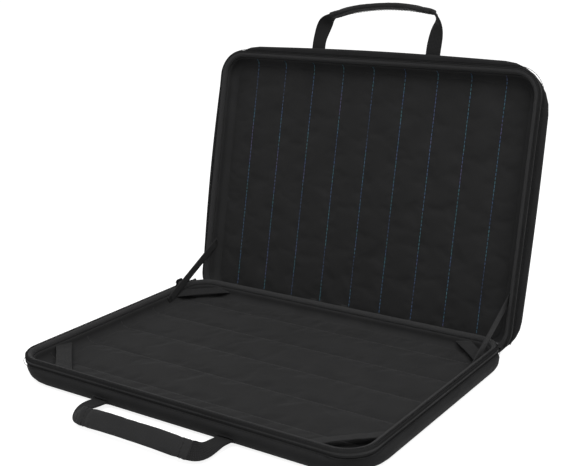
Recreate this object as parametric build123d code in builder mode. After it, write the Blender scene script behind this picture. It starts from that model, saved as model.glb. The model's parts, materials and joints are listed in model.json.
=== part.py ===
"""Laptop hard case: two moulded halves joined by a fabric spine and a zip.

The case stands open. X runs along the spine, Y from the front edge to the spine, Z up.
The origin is the centre of the base's flat underside. All lengths are in millimetres.

Both halves are the same moulding, so each one is built on its own rim plane: x along the
spine, y towards the front edge, and z outwards, from the rim to the flat outer face.
"""

import os
from math import asin, atan, atan2, cos, degrees, hypot, radians, sin, sqrt

from build123d import *

# ---------------------------------------------------------------- driving dimensions
# Outline of one half, at its widest line
case_length = 325.0
case_depth = 239.0
front_corner_radius = 40.0
rear_corner_radius = 31.0

# Section through the moulded shell
half_height = 17.0  # from the rim bead's centre to the flat outer face
shell_wall = 2.6
lip_round = 2.8  # outer round between the wall and the rim flange
side_flat = 0.2  # upright wall between the lip's round and the edge's round
flange_thickness = 1.5

# Rim bead, sewn on top of the flange
bead_diameter = 5.0
bead_corner_radius = 20.5
lip_overhang = 7.5  # the shell's widest line beyond the bead's centre, front and sides
rear_lip_overhang = 2.2  # the same along the spine
flange_reach = 2.5  # from the bead's centre to the flange's inner edge

# Padding inside a half
lining_thickness = 0.9
lining_fit = 0.1  # between the lining's wall and the flange and foam round it
lining_rise = 0.5  # top edge of the lining below the bead's centre
foam_floor = 4.0
cavity_corner_round = 5.0  # inside round between the lining's wall and floor
quilt_groove_width = 1.2
quilt_groove_depth = 0.35
quilt_edge_margin = 9.0
thread_width = 0.6
thread_thickness = 0.25
base_quilt_pitch = 42.0
base_quilt_lines = 5
lid_quilt_pitch = 31.0
lid_quilt_lines = 9

# Opening of the lid
rim_gap = 9.0  # between the two bead centres when the case is zipped shut
open_angle = 101.8
hinge_setback = 7.1  # the open lid's rear bead behind the base's rear bead
floor_clearance = 0.4  # the open lid's lowest line above the table

# Zip
tape_thickness = 0.6
coil_thickness = 1.5
coil_height = 1.7
coil_gap = 1.2  # left between the two closed coils, for the slider's wedge
zip_end_gap = 7.9  # from the rear bead's centre line to the zip's ends
stop_length = 3.0
stop_wall = 0.5

# Slider and pull
slider_length = 9.0
slider_plate = 0.8
slider_clearance = 0.2
slider_outer_height = 7.0
slider_wedge = 0.9
slider_wedge_length = 2.2
slider_park = 26.0  # behind the slider's middle, to the rear bead's centre line
bridge_length = 6.0
bridge_radius = 0.6
bridge_post = 1.0
pull_eye_wall = 0.6
pull_eye_clearance = 0.2
pull_width = 5.0
pull_thickness = 1.2
pull_neck = 3.0
pull_length = 20.0
pull_rest_clearance = 0.3

# Carrying handles
webbing_width = 13.5
webbing_thickness = 1.8
leg_spread = 7.4  # each leg's centre beyond the grip's end
leg_straight = 8.0
leg_sections = 5
arch_sections = 8
grip_length = 100.0
grip_width = 14.6
grip_thickness = 5.4
grip_round = 2.2
handle_height = 6.0  # the sewing line above the flat outer face
handle_standoff = 2.3  # the fold line in front of the shell's wall
anchor_gap = 1.45  # from the fold line to the point of the sewn end
sewn_depth = 4.0
handle_shift = 3.5  # the sewn ends to the left of the grip's middle, on both halves
lid_handle_reach = 34.5
lid_grip_crown = 6.0
lid_handle_tilt = 0.0
lid_grip_tilt = 0.0
lid_grip_roll = 3.5  # its right end lifted
lid_leg_turn = 90.0  # of the webbing's width, between the wall and the grip
base_handle_reach = 30.8
base_grip_crown = 3.0
base_handle_tilt = 7.5  # above the base's rim plane
base_grip_tilt = 34.1
base_grip_roll = 0.0
base_leg_turn = -90.0

# Corner elastics in the base
elastic_thickness = 1.2
front_elastic_outer = 28.5  # from the bead's sharp corner to the band's outer edge
front_elastic_inner = 41.5
rear_elastic_outer = 20.5
rear_elastic_inner = 30.5
elastic_outer_depth = 1.6
elastic_inner_depth = 4.4

# Stay straps between the side walls
strap_width = 7.5
strap_thickness = 1.0
strap_setback = 46.0  # in front of each half's rear bead
base_strap_depth = 2.4  # below the base's bead centre
lid_strap_depth = 3.0

# Fabric spine
spine_thickness = 1.0
spine_groove = 2.4  # its sewn edges outside and below each bead's centre
spine_clearance = 0.3  # between the fabric and the open lid's bead
spine_wrap_start = -70.0  # where it meets the lid's bead, in degrees from straight outside
spine_wrap_end = 50.0
spine_corner_reach = 17.0  # past the start of each rear corner
spine_corner_steps = 3

# ---------------------------------------------------------------- derived places
bead_radius = bead_diameter / 2
edge_round = half_height - bead_radius - lip_round - side_flat
rim_length = case_length - 2 * lip_overhang
rim_depth = case_depth - lip_overhang - rear_lip_overhang
rim_front = case_depth / 2 - lip_overhang
rim_rear = rear_lip_overhang - case_depth / 2
rim_middle = (rim_front + rim_rear) / 2
lining_outer = flange_reach + lining_fit
lining_inset = lining_outer + lining_thickness
foam_face = half_height - shell_wall - foam_floor
lining_face = foam_face - lining_thickness
leg_offset = grip_length / 2 + leg_spread
handle_depth = half_height - handle_height

theta = radians(open_angle)
lid_up = Vector(0, -cos(theta), sin(theta))
lid_out = Vector(0, sin(theta), cos(theta))
edge_centre_up = edge_round - rear_lip_overhang
edge_centre_out = half_height - edge_round
lid_bead_height = (
    floor_clearance + edge_round - lid_up.Z * edge_centre_up - lid_out.Z * edge_centre_out
)
rear_bead_y = -rim_rear
lid_bead = Vector(0, rear_bead_y + hinge_setback, lid_bead_height)

base_rim = Plane(origin=(0, 0, half_height), x_dir=(1, 0, 0), z_dir=(0, 0, -1))
lid_rim = Plane(origin=lid_bead - lid_up * rim_rear, x_dir=(-1, 0, 0), z_dir=lid_out)

# The lid turns about the one line that carries its rear bead from shut to open.
shut_bead = Vector(0, rear_bead_y, half_height + rim_gap)
bead_travel = lid_bead - shut_bead
half_turn = cos(theta / 2) / sin(theta / 2) / 2
hinge_line = (shut_bead + lid_bead) * 0.5 - Vector(0, -bead_travel.Z, bead_travel.Y) * half_turn

os.makedirs("parts", exist_ok=True)


def save(part, name):
    """Label one finished piece and write it to its own file."""
    part.label = name
    export_step(part, f"parts/{name}.step")


def outward(rim):
    """The axis from a half's rim to its flat face."""
    return Axis(rim.origin, rim.z_dir)


# ---------------------------------------------------------------- outlines, in a sketch
def shell_outline(inset):
    """A half's outline, pulled in from its widest line."""
    Rectangle(case_length - 2 * inset, case_depth - 2 * inset)
    fillet(vertices().group_by(Axis.Y)[-1], front_corner_radius - inset)
    fillet(vertices().group_by(Axis.Y)[0], rear_corner_radius - inset)


def bead_outline(growth, mode=Mode.ADD):
    """The rim bead's centre line as a filled outline, grown outwards or inwards."""
    with Locations((0, rim_middle)):
        RectangleRounded(
            rim_length + 2 * growth,
            rim_depth + 2 * growth,
            bead_corner_radius + growth,
            mode=mode,
        )


# ---------------------------------------------------------------- the moulded halves
def shell_envelope(rim):
    """A half's full outer form, as one solid."""
    with BuildPart() as envelope:
        with BuildSketch(rim.offset(bead_radius)):
            shell_outline(0)
        extrude(amount=half_height - bead_radius)
        faces_by_depth = envelope.faces().sort_by(outward(rim))
        fillet(faces_by_depth[-1].edges(), edge_round)
        fillet(envelope.faces().sort_by(outward(rim))[0].edges(), lip_round)
    return envelope.part


def shell_hollow(rim):
    """The space inside the moulded wall, under the rim flange."""
    flange_foot = bead_radius + flange_thickness
    with BuildPart() as hollow:
        with BuildSketch(rim):
            shell_outline(shell_wall)
        extrude(amount=half_height - shell_wall)
        fillet(hollow.faces().sort_by(outward(rim))[-1].edges(), edge_round - shell_wall)
        with BuildSketch(rim):
            shell_outline(0)
        extrude(amount=flange_foot, mode=Mode.SUBTRACT)
    return hollow.part


def tub(rim, inset, top, floor, corner_round):
    """A straight-walled tub inside the bead, rounded where its wall meets its floor."""
    with BuildPart() as form:
        with BuildSketch(rim.offset(top)):
            bead_outline(-inset)
        extrude(amount=floor - top)
        fillet(form.faces().sort_by(outward(rim))[-1].edges(), corner_round)
    return form.part


def build_shell(rim):
    """The moulded outer half with its inward rim flange."""
    with BuildPart() as shell:
        add(shell_envelope(rim))
        add(shell_hollow(rim), mode=Mode.SUBTRACT)
        with BuildSketch(rim):
            bead_outline(-flange_reach)
        extrude(amount=half_height / 2, mode=Mode.SUBTRACT)
    return shell.part


def build_foam(rim):
    """The foam tray between the moulded shell and the lining."""
    with BuildPart() as foam:
        add(shell_hollow(rim))
        add(
            tub(rim, flange_reach, 0, foam_face, cavity_corner_round + lining_thickness),
            mode=Mode.SUBTRACT,
        )
    return foam.part


def quilt_strips(width, lines, pitch, along_spine):
    """Parallel strips across the lining's floor, in the current sketch."""
    inset = lining_inset + quilt_edge_margin
    with Locations((0, rim_middle)):
        if along_spine:
            with GridLocations(0, pitch, 1, lines):
                Rectangle(rim_length - 2 * inset, width)
        else:
            with GridLocations(pitch, 0, lines, 1):
                Rectangle(width, rim_depth - 2 * inset)


def build_lining(rim, lines, pitch, along_spine):
    """The quilted fabric lining, a thin tub with a groove along each row of stitches."""
    with BuildPart() as lining:
        add(tub(rim, lining_outer, lining_rise, foam_face, cavity_corner_round + lining_thickness))
        add(
            tub(rim, lining_inset, lining_rise, lining_face, cavity_corner_round),
            mode=Mode.SUBTRACT,
        )
        with BuildSketch(rim.offset(lining_face)):
            quilt_strips(quilt_groove_width, lines, pitch, along_spine)
        extrude(amount=quilt_groove_depth, mode=Mode.SUBTRACT)
    return lining.part


def build_thread(rim, lines, pitch, along_spine):
    """The quilting threads, one along the bottom of each groove."""
    with BuildPart() as thread:
        with BuildSketch(rim.offset(lining_face + quilt_groove_depth)):
            quilt_strips(thread_width, lines, pitch, along_spine)
        extrude(amount=-thread_thickness)
    return thread.part


def build_bead(rim):
    """The round rim bead, all the way round the opening."""
    with BuildPart() as bead:
        with BuildSketch(rim.offset(-bead_radius)):
            bead_outline(bead_radius)
            bead_outline(-bead_radius, Mode.SUBTRACT)
        extrude(amount=bead_diameter)
        fillet(bead.edges(), bead_radius * 0.98)
    return bead.part


# ---------------------------------------------------------------- the zip
tape_face = bead_radius + tape_thickness  # outer face of the tape from the bead's centre
coil_outer = bead_radius + tape_thickness / 2
coil_inner = coil_outer - coil_thickness
coil_top = (rim_gap - coil_gap) / 2  # above the bead's centre
coil_foot = coil_top - coil_height
zip_cut = rim_rear + zip_end_gap


def zip_band(rim, inner, outer, top, foot):
    """A band that follows the bead round the sides and front, and ends in the rear corners."""
    with BuildPart() as band:
        with BuildSketch(rim.offset(-top)):
            bead_outline(outer)
            bead_outline(inner, Mode.SUBTRACT)
            with Locations((0, zip_cut)):
                Rectangle(
                    case_length, case_depth, align=(Align.CENTER, Align.MAX), mode=Mode.SUBTRACT
                )
        extrude(amount=top - foot)
    return band.part


def build_stops():
    """The two end stops, clamped over the base's coil at the ends of the zip."""
    with BuildPart() as stops:
        with BuildSketch(base_rim.offset(-coil_top - stop_wall)):
            bead_outline(coil_outer)
            bead_outline(coil_inner, Mode.SUBTRACT)
            with Locations((0, zip_cut + stop_length)):
                Rectangle(
                    case_length, case_depth, align=(Align.CENTER, Align.MIN), mode=Mode.SUBTRACT
                )
            with Locations((0, zip_cut)):
                Rectangle(
                    case_length, case_depth, align=(Align.CENTER, Align.MAX), mode=Mode.SUBTRACT
                )
        extrude(amount=stop_wall)
    return stops.part


# The slider is drawn in the section across the left side's zip: x outwards from the bead's
# centre, y up from it. Its plane's normal points along the zip, towards the spine.
slider_middle = rear_bead_y - slider_park
plate_inner = coil_inner - slider_clearance
plate_outer = tape_face + slider_clearance
pull_eye_bore = bridge_radius + pull_eye_clearance
pull_eye_radius = pull_eye_bore + pull_eye_wall
pull_eye_width = bridge_length - 2 * (bridge_post + pull_eye_clearance)
bridge_out = plate_outer + slider_plate + pull_eye_clearance + pull_eye_radius
zip_middle = rim_gap / 2


def section_plane(y):
    """The section across the left side's zip at a place along it."""
    return Plane(origin=(-rim_length / 2, y, half_height), x_dir=(-1, 0, 0), z_dir=(0, 1, 0))


def section_box(left, right, low, high, y_from, y_to):
    """A block given by its edges in the zip's section and its two ends along the zip."""
    middle = section_plane((y_from + y_to) / 2).from_local_coords(
        ((left + right) / 2, (low + high) / 2, 0)
    )
    with Locations(middle):
        Box(right - left, y_to - y_from, high - low)


def build_slider():
    """Two plates joined by the wedge, with a bridge for the pull."""
    inner_half = rim_gap / 2 - bead_radius - slider_clearance / 2
    outer_half = slider_outer_height / 2
    front = slider_middle - slider_length / 2
    back = slider_middle + slider_length / 2
    with BuildPart() as slider:
        section_box(
            plate_inner - slider_plate,
            plate_inner,
            zip_middle - inner_half,
            zip_middle + inner_half,
            front,
            back,
        )
        section_box(
            plate_outer,
            plate_outer + slider_plate,
            zip_middle - outer_half,
            zip_middle + outer_half,
            front,
            back,
        )
        section_box(
            plate_inner,
            plate_outer,
            zip_middle - slider_wedge / 2,
            zip_middle + slider_wedge / 2,
            front,
            front + slider_wedge_length,
        )
        for end in (-1, 1):
            post = slider_middle + end * (bridge_length - bridge_post) / 2
            section_box(
                plate_outer + slider_plate,
                bridge_out,
                zip_middle - bridge_radius,
                zip_middle + bridge_radius,
                post - bridge_post / 2,
                post + bridge_post / 2,
            )
        with BuildSketch(section_plane(slider_middle - bridge_length / 2)):
            with Locations((bridge_out, zip_middle)):
                Circle(bridge_radius)
        extrude(amount=bridge_length)
    return slider.part


def pull_angle():
    """The pull's lean from plumb, in degrees, so that it clears the shell's rounded lip."""
    across = lip_overhang - lip_round - bridge_out
    down = zip_middle + bead_radius + lip_round
    clear = lip_round + pull_thickness / 2 + pull_rest_clearance
    return degrees(asin(clear / hypot(across, down)) + atan2(across, down))


def build_pull():
    """An eye round the bridge, and a neck and a flat tab that hang over the shell's lip."""
    lean = radians(pull_angle())
    bridge = section_plane(slider_middle).from_local_coords((bridge_out, zip_middle, 0))
    hang = Plane(
        origin=bridge,
        x_dir=(0, 1, 0),
        z_dir=(-cos(lean), 0, sin(lean)),
    )
    with BuildPart() as pull:
        with BuildSketch(section_plane(slider_middle)):
            with Locations((bridge_out, zip_middle)):
                Circle(pull_eye_radius)
        extrude(amount=pull_eye_width / 2, both=True)
        with BuildSketch(hang):
            with Locations((0, pull_neck / 2)):
                Rectangle(pull_eye_width, pull_neck)
            with Locations((0, (pull_neck + pull_length) / 2)):
                RectangleRounded(pull_width, pull_length - pull_neck, pull_width * 0.3)
        extrude(amount=pull_thickness / 2, both=True)
        with BuildSketch(section_plane(slider_middle)):
            with Locations((bridge_out, zip_middle)):
                Circle(pull_eye_bore)
        extrude(amount=pull_width, both=True, mode=Mode.SUBTRACT)
    return pull.part


# ---------------------------------------------------------------- carrying handles
def wall_inset(depth):
    """How far the rounded edge has drawn in from the widest line at a depth below the rim."""
    below = max(0.0, depth - (half_height - edge_round))
    return edge_round - sqrt(edge_round**2 - below**2)


def handle_plane(rim, reach, tilt):
    """Across a handle: x along it, y away from the shell, z through its thickness."""
    lean = radians(tilt)
    fold = rim.from_local_coords(
        (0, case_depth / 2 - wall_inset(handle_depth) + handle_standoff, handle_depth)
    )
    away = rim.y_dir * cos(lean) - rim.z_dir * sin(lean)
    through = rim.z_dir * cos(lean) + rim.y_dir * sin(lean)
    return Plane(origin=fold + away * reach, x_dir=rim.x_dir, z_dir=through)


def root_plane(rim, tilt):
    """The handle's plane at the fold line, midway between its two sewn ends."""
    root = handle_plane(rim, 0, tilt)
    return Plane(
        origin=root.origin - Vector(handle_shift, 0, 0), x_dir=root.x_dir, z_dir=root.z_dir
    )


def grip_plane(rim, reach, tilt, grip_tilt, roll):
    """Through the ends of the grip, turned with its flat face."""
    lean = radians(tilt + grip_tilt)
    ends = handle_plane(rim, reach, tilt).origin
    through = rim.z_dir * cos(lean) + rim.y_dir * sin(lean)
    return Plane(origin=ends, x_dir=rim.x_dir, z_dir=through).rotated((0, 0, -roll))


def arch_lean(crown):
    """The angle of the grip's arch at its ends."""
    return 2 * atan(crown / (grip_length / 2))


def arched_band(plane, crown, thickness, width):
    """A band of constant thickness along the grip's arch."""
    end = grip_length / 2
    half = thickness / 2
    x = half * sin(arch_lean(crown))
    y = half * cos(arch_lean(crown))
    with BuildPart() as band:
        with BuildSketch(plane):
            with BuildLine():
                upper = ThreePointArc((-end - x, y), (0, crown + half), (end + x, y))
                lower = ThreePointArc((-end + x, -y), (0, crown - half), (end - x, -y))
                Line(upper @ 0, lower @ 0)
                Line(upper @ 1, lower @ 1)
            make_face()
        extrude(amount=width / 2, both=True)
    return band.part


def leg_plane(root, grip, crown, turn, side, share):
    """Across a leg's turn from its flat length to the grip's arch, at a share of the way."""
    half = grip_length / 2
    beyond = leg_spread * cos(arch_lean(crown))
    drop = leg_spread * sin(arch_lean(crown))
    start = root.from_local_coords((side * leg_offset, leg_straight, 0))
    corner = grip.from_local_coords((side * (half + beyond), -drop, 0))
    end = grip.from_local_coords((side * half, 0, 0))
    middle = start * (1 - share) ** 2 + corner * 2 * share * (1 - share) + end * share**2
    tangent = ((corner - start) * (1 - share) + (end - corner) * share).normalized()
    through = (root.z_dir * (1 - share) + grip.z_dir * share).normalized()
    edge = tangent.cross(through).normalized() * side
    twist = radians(turn) * sin(radians(90) * share) ** 2
    return Plane(
        origin=middle,
        x_dir=edge * cos(twist) - edge.cross(tangent) * side * sin(twist),
        z_dir=tangent,
    )


def arch_plane(grip, crown, turn, share):
    """Across the webbing inside the grip, from the left end at -1 to the right end at 1."""
    swing = arch_lean(crown) * share
    radius = (grip_length**2 / 4 + crown**2) / (2 * crown)
    middle = (radius * sin(swing), crown - radius * (1 - cos(swing)), 0)
    return Plane(
        origin=grip.from_local_coords(middle),
        x_dir=grip.z_dir * (-1 if turn > 0 else 1),
        z_dir=grip.x_dir * cos(swing) - grip.y_dir * sin(swing),
    )


def webbing_planes(root, grip, crown, turn):
    """Across the webbing from its left leg's flat length to its right one's."""
    planes = []
    for number in range(leg_sections):
        planes.append(leg_plane(root, grip, crown, turn, -1, number / (leg_sections - 1)))
    for number in range(1, arch_sections):
        planes.append(arch_plane(grip, crown, turn, 2 * number / arch_sections - 1))
    for number in reversed(range(leg_sections)):
        across = leg_plane(root, grip, crown, turn, 1, number / (leg_sections - 1))
        planes.append(Plane(origin=across.origin, x_dir=across.x_dir, z_dir=-across.z_dir))
    return planes


def build_webbing(rim, reach, crown, tilt, grip_tilt, roll, turn):
    """One strip: round hems at the fold line, flat lengths, and legs that turn on edge."""
    root = root_plane(rim, tilt)
    grip = grip_plane(rim, reach, tilt, grip_tilt, roll)
    with BuildPart() as webbing:
        for across in webbing_planes(root, grip, crown, turn):
            with BuildSketch(across):
                Rectangle(webbing_width, webbing_thickness)
        loft(ruled=True)
        for side in (-1, 1):
            fold = root.from_local_coords((side * leg_offset, 0, 0))
            with BuildSketch(Plane(origin=fold, x_dir=root.y_dir, z_dir=root.x_dir)):
                Circle(webbing_thickness / 2)
                Rectangle(leg_straight, webbing_thickness, align=(Align.MIN, Align.CENTER))
            extrude(amount=webbing_width / 2, both=True)
    return webbing.part


def build_sleeve(rim, webbing, reach, crown, tilt, grip_tilt, roll):
    """The padded grip sleeve round the middle of the webbing."""
    with BuildPart() as sleeve:
        grip = grip_plane(rim, reach, tilt, grip_tilt, roll)
        add(arched_band(grip, crown, grip_thickness, grip_width))
        fillet(sleeve.edges().filter_by(lambda edge: edge.length > grip_length * 0.9), grip_round)
        add(webbing, mode=Mode.SUBTRACT)
    return sleeve.part


def build_anchors(rim, tilt):
    """The sewn ends of the webbing, pointed towards the fold line to let the handle fold back."""
    root = root_plane(rim, tilt)
    half = webbing_thickness / 2
    with BuildPart() as anchors:
        for side in (-1, 1):
            middle = root.from_local_coords((side * leg_offset, 0, 0))
            with BuildSketch(Plane(origin=middle, x_dir=-root.y_dir, z_dir=root.x_dir)):
                with BuildLine():
                    Polyline(
                        (anchor_gap, 0),
                        (anchor_gap + half, half),
                        (anchor_gap + sewn_depth, half),
                        (anchor_gap + sewn_depth, -half),
                        (anchor_gap + half, -half),
                        close=True,
                    )
                make_face()
            extrude(amount=webbing_width / 2, both=True)
        add(shell_envelope(rim), mode=Mode.SUBTRACT)
    return anchors.part


# ---------------------------------------------------------------- elastics, straps, spine
def build_elastic(side, end, outer, inner):
    """A band across one corner of the base: side is the sign of x, end +1 at the front."""
    wall = rim_front if end > 0 else rim_rear
    corner = Vector(side * rim_length / 2, wall, 0)
    inward = Vector(-side, -end, 0) / sqrt(2)
    drop = elastic_inner_depth - elastic_outer_depth
    run = inner - outer
    outer_edge = corner + inward * outer + Vector(0, 0, elastic_outer_depth)
    slope = (inward * run + Vector(0, 0, drop)).normalized()
    along = Vector(-inward.Y, inward.X, 0)
    if along.cross(slope).Z < 0:
        along = -along
    normal = along.cross(slope)
    band_plane = Plane(
        origin=base_rim.from_local_coords(outer_edge),
        x_dir=base_rim.from_local_coords(outer_edge + along)
        - base_rim.from_local_coords(outer_edge),
        z_dir=base_rim.from_local_coords(outer_edge + normal)
        - base_rim.from_local_coords(outer_edge),
    )
    with BuildPart() as band:
        with BuildSketch(band_plane):
            Rectangle(case_depth, hypot(run, drop), align=(Align.CENTER, Align.MIN))
        extrude(amount=elastic_thickness)
        add(
            tub(base_rim, lining_inset, 0, lining_face, cavity_corner_round),
            mode=Mode.INTERSECT,
        )
    return band.part


def build_strap(side):
    """A stay strap flat against one side wall, its ends trimmed along the base and lid rims."""
    wall = side * (rim_length / 2 - lining_inset)
    foot = base_rim.from_local_coords((wall, rim_rear + strap_setback, base_strap_depth))
    head = lid_rim.from_local_coords((-wall, rim_rear + strap_setback, lid_strap_depth))
    along = (head - foot).normalized()
    corners = []
    for end, cut in ((foot, base_rim.y_dir), (head, -lid_rim.y_dir)):
        half_cut = cut * (strap_width / 2 / along.cross(cut).length)
        corners += [end - half_cut, end + half_cut]
    strap_plane = Plane(origin=(wall, 0, 0), x_dir=(0, side, 0), z_dir=(-side, 0, 0))
    with BuildPart() as strap:
        with BuildSketch(strap_plane):
            with BuildLine():
                outline = [strap_plane.to_local_coords(corner) for corner in corners]
                Polyline(*outline, close=True)
            make_face()
        extrude(amount=strap_thickness)
    return strap.part


def rim_line(x, growth):
    """Where the rear bead's line, grown outwards, lies at a place along the spine."""
    across = max(0.0, abs(x) - (rim_length / 2 - bead_corner_radius))
    return rim_rear + bead_corner_radius - sqrt((bead_corner_radius + growth) ** 2 - across**2)


def spine_path(x):
    """The fabric's path at a place along the spine, from the base's seam round the lid's bead."""
    wrap_radius = bead_radius + spine_clearance + spine_thickness / 2
    step = (spine_wrap_end - spine_wrap_start) / 4
    knee = wrap_radius / cos(radians(step))
    seam = (x, rim_line(x, spine_groove), spine_groove)
    path = [base_rim.from_local_coords(seam)]
    for turn, radius in ((1, knee), (3, knee), (4, wrap_radius)):
        angle = radians(spine_wrap_start + turn * step)
        wrap = (-x, rim_line(x, radius * cos(angle)), radius * sin(angle))
        path.append(lid_rim.from_local_coords(wrap))
    return [(point.Y, point.Z) for point in path]


def build_spine():
    """The fabric spine, from corner to corner, sewn under both rear beads."""
    straight = rim_length / 2 - bead_corner_radius
    step = spine_corner_reach / spine_corner_steps
    places = [straight + number * step for number in range(spine_corner_steps + 1)]
    with BuildPart() as spine:
        for x in [-place for place in reversed(places)] + places:
            with BuildSketch(Plane(origin=(x, 0, 0), x_dir=(0, 1, 0), z_dir=(1, 0, 0))):
                with BuildLine():
                    path = Polyline(*spine_path(x))
                    offset(path, amount=spine_thickness / 2, side=Side.BOTH, closed=True)
                make_face()
        loft(ruled=True)
        add(shell_envelope(base_rim), mode=Mode.SUBTRACT)
    return spine.part


# ---------------------------------------------------------------- build and write
save(build_shell(base_rim), "base_shell")
save(build_foam(base_rim), "base_foam")
save(build_lining(base_rim, base_quilt_lines, base_quilt_pitch, True), "base_lining")
save(build_thread(base_rim, base_quilt_lines, base_quilt_pitch, True), "base_quilt_thread")
save(build_bead(base_rim), "base_rim_bead")
save(zip_band(base_rim, bead_radius, tape_face, coil_foot, -bead_radius), "base_zip_tape")
save(zip_band(base_rim, coil_inner, coil_outer, coil_top, coil_foot), "base_zip_coil")
save(build_stops(), "zip_end_stops")
save(build_slider(), "zip_slider")
save(build_pull(), "zip_pull")

save(build_shell(lid_rim), "lid_shell")
save(build_foam(lid_rim), "lid_foam")
save(build_lining(lid_rim, lid_quilt_lines, lid_quilt_pitch, False), "lid_lining")
save(build_thread(lid_rim, lid_quilt_lines, lid_quilt_pitch, False), "lid_quilt_thread")
save(build_bead(lid_rim), "lid_rim_bead")
save(zip_band(lid_rim, bead_radius, tape_face, coil_foot, -bead_radius), "lid_zip_tape")
save(zip_band(lid_rim, coil_inner, coil_outer, coil_top, coil_foot), "lid_zip_coil")

handles = {
    "base": (
        base_rim,
        base_handle_reach,
        base_grip_crown,
        base_handle_tilt,
        base_grip_tilt,
        base_grip_roll,
        base_leg_turn,
    ),
    "lid": (
        lid_rim,
        lid_handle_reach,
        lid_grip_crown,
        lid_handle_tilt,
        lid_grip_tilt,
        lid_grip_roll,
        lid_leg_turn,
    ),
}
for half, (rim, reach, crown, tilt, grip_tilt, roll, turn) in handles.items():
    webbing = build_webbing(rim, reach, crown, tilt, grip_tilt, roll, turn)
    sleeve = build_sleeve(rim, webbing, reach, crown, tilt, grip_tilt, roll)
    save(build_anchors(rim, tilt), f"{half}_handle_anchors")
    save(sleeve, f"{half}_handle_sleeve")
    save(webbing, f"{half}_handle_webbing")

elastics = {
    "front": (1, front_elastic_outer, front_elastic_inner),
    "rear": (-1, rear_elastic_outer, rear_elastic_inner),
}
for side, side_name in ((-1, "left"), (1, "right")):
    save(build_strap(side), f"stay_strap_{side_name}")
    for end_name, (end, outer, inner) in elastics.items():
        save(build_elastic(side, end, outer, inner), f"corner_elastic_{end_name}_{side_name}")

save(build_spine(), "spine_fabric")

# Joint places for the record
for half, (rim, reach, crown, tilt, grip_tilt, roll, turn) in handles.items():
    print(half, "handle fold line", root_plane(rim, tilt).origin)
print("hinge line", hinge_line)
print("slider bridge", section_plane(slider_middle).from_local_coords((bridge_out, zip_middle, 0)))
print("pull lean", pull_angle())
print("slider travel", slider_middle - slider_length / 2 + rim_front - bead_corner_radius)
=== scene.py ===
"""Laptop hard case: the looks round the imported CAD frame.

Both halves are one moulding, so every surface of a half is worked out on its rim plane: x along
the spine, y towards the front edge, and z outwards, from the rim bead's centre to the flat face.
All lengths are in metres.
"""

import json
from math import ceil, cos, pi, radians, sin

import bmesh
import bpy
import numpy as np
from bpy.props import FloatProperty, FloatVectorProperty, IntProperty, PointerProperty
from mathutils import Matrix, Vector


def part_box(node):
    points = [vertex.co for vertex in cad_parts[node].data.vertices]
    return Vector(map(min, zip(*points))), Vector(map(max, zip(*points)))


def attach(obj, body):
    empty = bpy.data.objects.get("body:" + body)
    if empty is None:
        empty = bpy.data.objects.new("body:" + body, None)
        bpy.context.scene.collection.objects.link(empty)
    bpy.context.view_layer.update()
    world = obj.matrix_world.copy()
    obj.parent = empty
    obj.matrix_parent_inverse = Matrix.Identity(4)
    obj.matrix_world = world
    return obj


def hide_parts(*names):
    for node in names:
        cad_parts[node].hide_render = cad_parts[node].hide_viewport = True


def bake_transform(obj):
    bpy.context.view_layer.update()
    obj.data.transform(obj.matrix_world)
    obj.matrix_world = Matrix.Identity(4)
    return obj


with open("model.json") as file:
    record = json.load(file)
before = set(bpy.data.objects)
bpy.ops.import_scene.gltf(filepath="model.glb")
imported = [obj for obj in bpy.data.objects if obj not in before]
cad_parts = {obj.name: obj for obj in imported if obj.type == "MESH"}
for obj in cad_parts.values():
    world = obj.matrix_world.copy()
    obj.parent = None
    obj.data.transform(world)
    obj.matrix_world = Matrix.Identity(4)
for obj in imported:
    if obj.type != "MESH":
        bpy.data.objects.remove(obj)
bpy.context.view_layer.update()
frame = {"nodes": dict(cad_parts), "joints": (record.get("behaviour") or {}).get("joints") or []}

bl_info = {
    "name": "Laptop Hard Case",
    "version": (1, 0, 0),
    "blender": (4, 5, 0),
    "location": "View3D > Sidebar > Hard Case",
    "description": "Dresses the CAD frame of a zip-round laptop case with its fabrics, zip and stage",
    "category": "Object",
}

MM = 0.001

# ---------------------------------------------------------------- sizes read from the frame
JOINTS = {joint["name"]: joint for joint in frame["joints"]}
bead_low, bead_high = (np.array(corner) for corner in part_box("base_rim_bead"))
BEAD_RADIUS = (bead_high[2] - bead_low[2]) / 2
RIM_HEIGHT = (bead_high[2] + bead_low[2]) / 2
RIM_X = bead_high[0] - BEAD_RADIUS
RIM_FRONT = -bead_low[1] - BEAD_RADIUS
RIM_REAR = BEAD_RADIUS - bead_high[1]
CASE_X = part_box("base_shell")[1].x
CASE_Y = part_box("base_shell")[1].y
HINGE = np.array(JOINTS["lid_hinge"]["pos_m"])
OPEN_ANGLE = radians(JOINTS["lid_hinge"]["range_deg"][1])

# ---------------------------------------------------------------- sizes of the mouldings
BEAD_CORNER = 20.5 * MM  # of the bead's centre line
CASE_FRONT_CORNER = 40 * MM  # of the moulding's widest outline
CASE_REAR_CORNER = 31 * MM
RIM_GAP = 9 * MM  # between the two beads' centres when the case is shut
SHELL_WALL = 2.6 * MM
EDGE_ROUND = 11.5 * MM
LIP_ROUND = 2.8 * MM
FLANGE = 1.5 * MM  # its thickness
FLANGE_REACH = 2.3 * MM  # inside the bead's centre line
SHELL_STEP = 5 * MM  # between the points round a moulding
FACE_RING = 4 * MM  # from the round edge to the flat face's outer ring
FACE_MIDDLE = 16 * MM  # and to the ring whose middle closes the face

LID_CROWN = 2.6 * MM  # how far the lid's top edge bows out
LID_SIDE_CROWNS = (1.2 * MM, 3.0 * MM)  # and its right and left sides

# Piping
PIPING_RADIUS = 3.0 * MM
PIPING_STEP = 1.6 * MM  # between the points round the rim
PIPING_DRAW = 0.012  # how far each stitch of its seam draws it in, as a share of its radius

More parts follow.
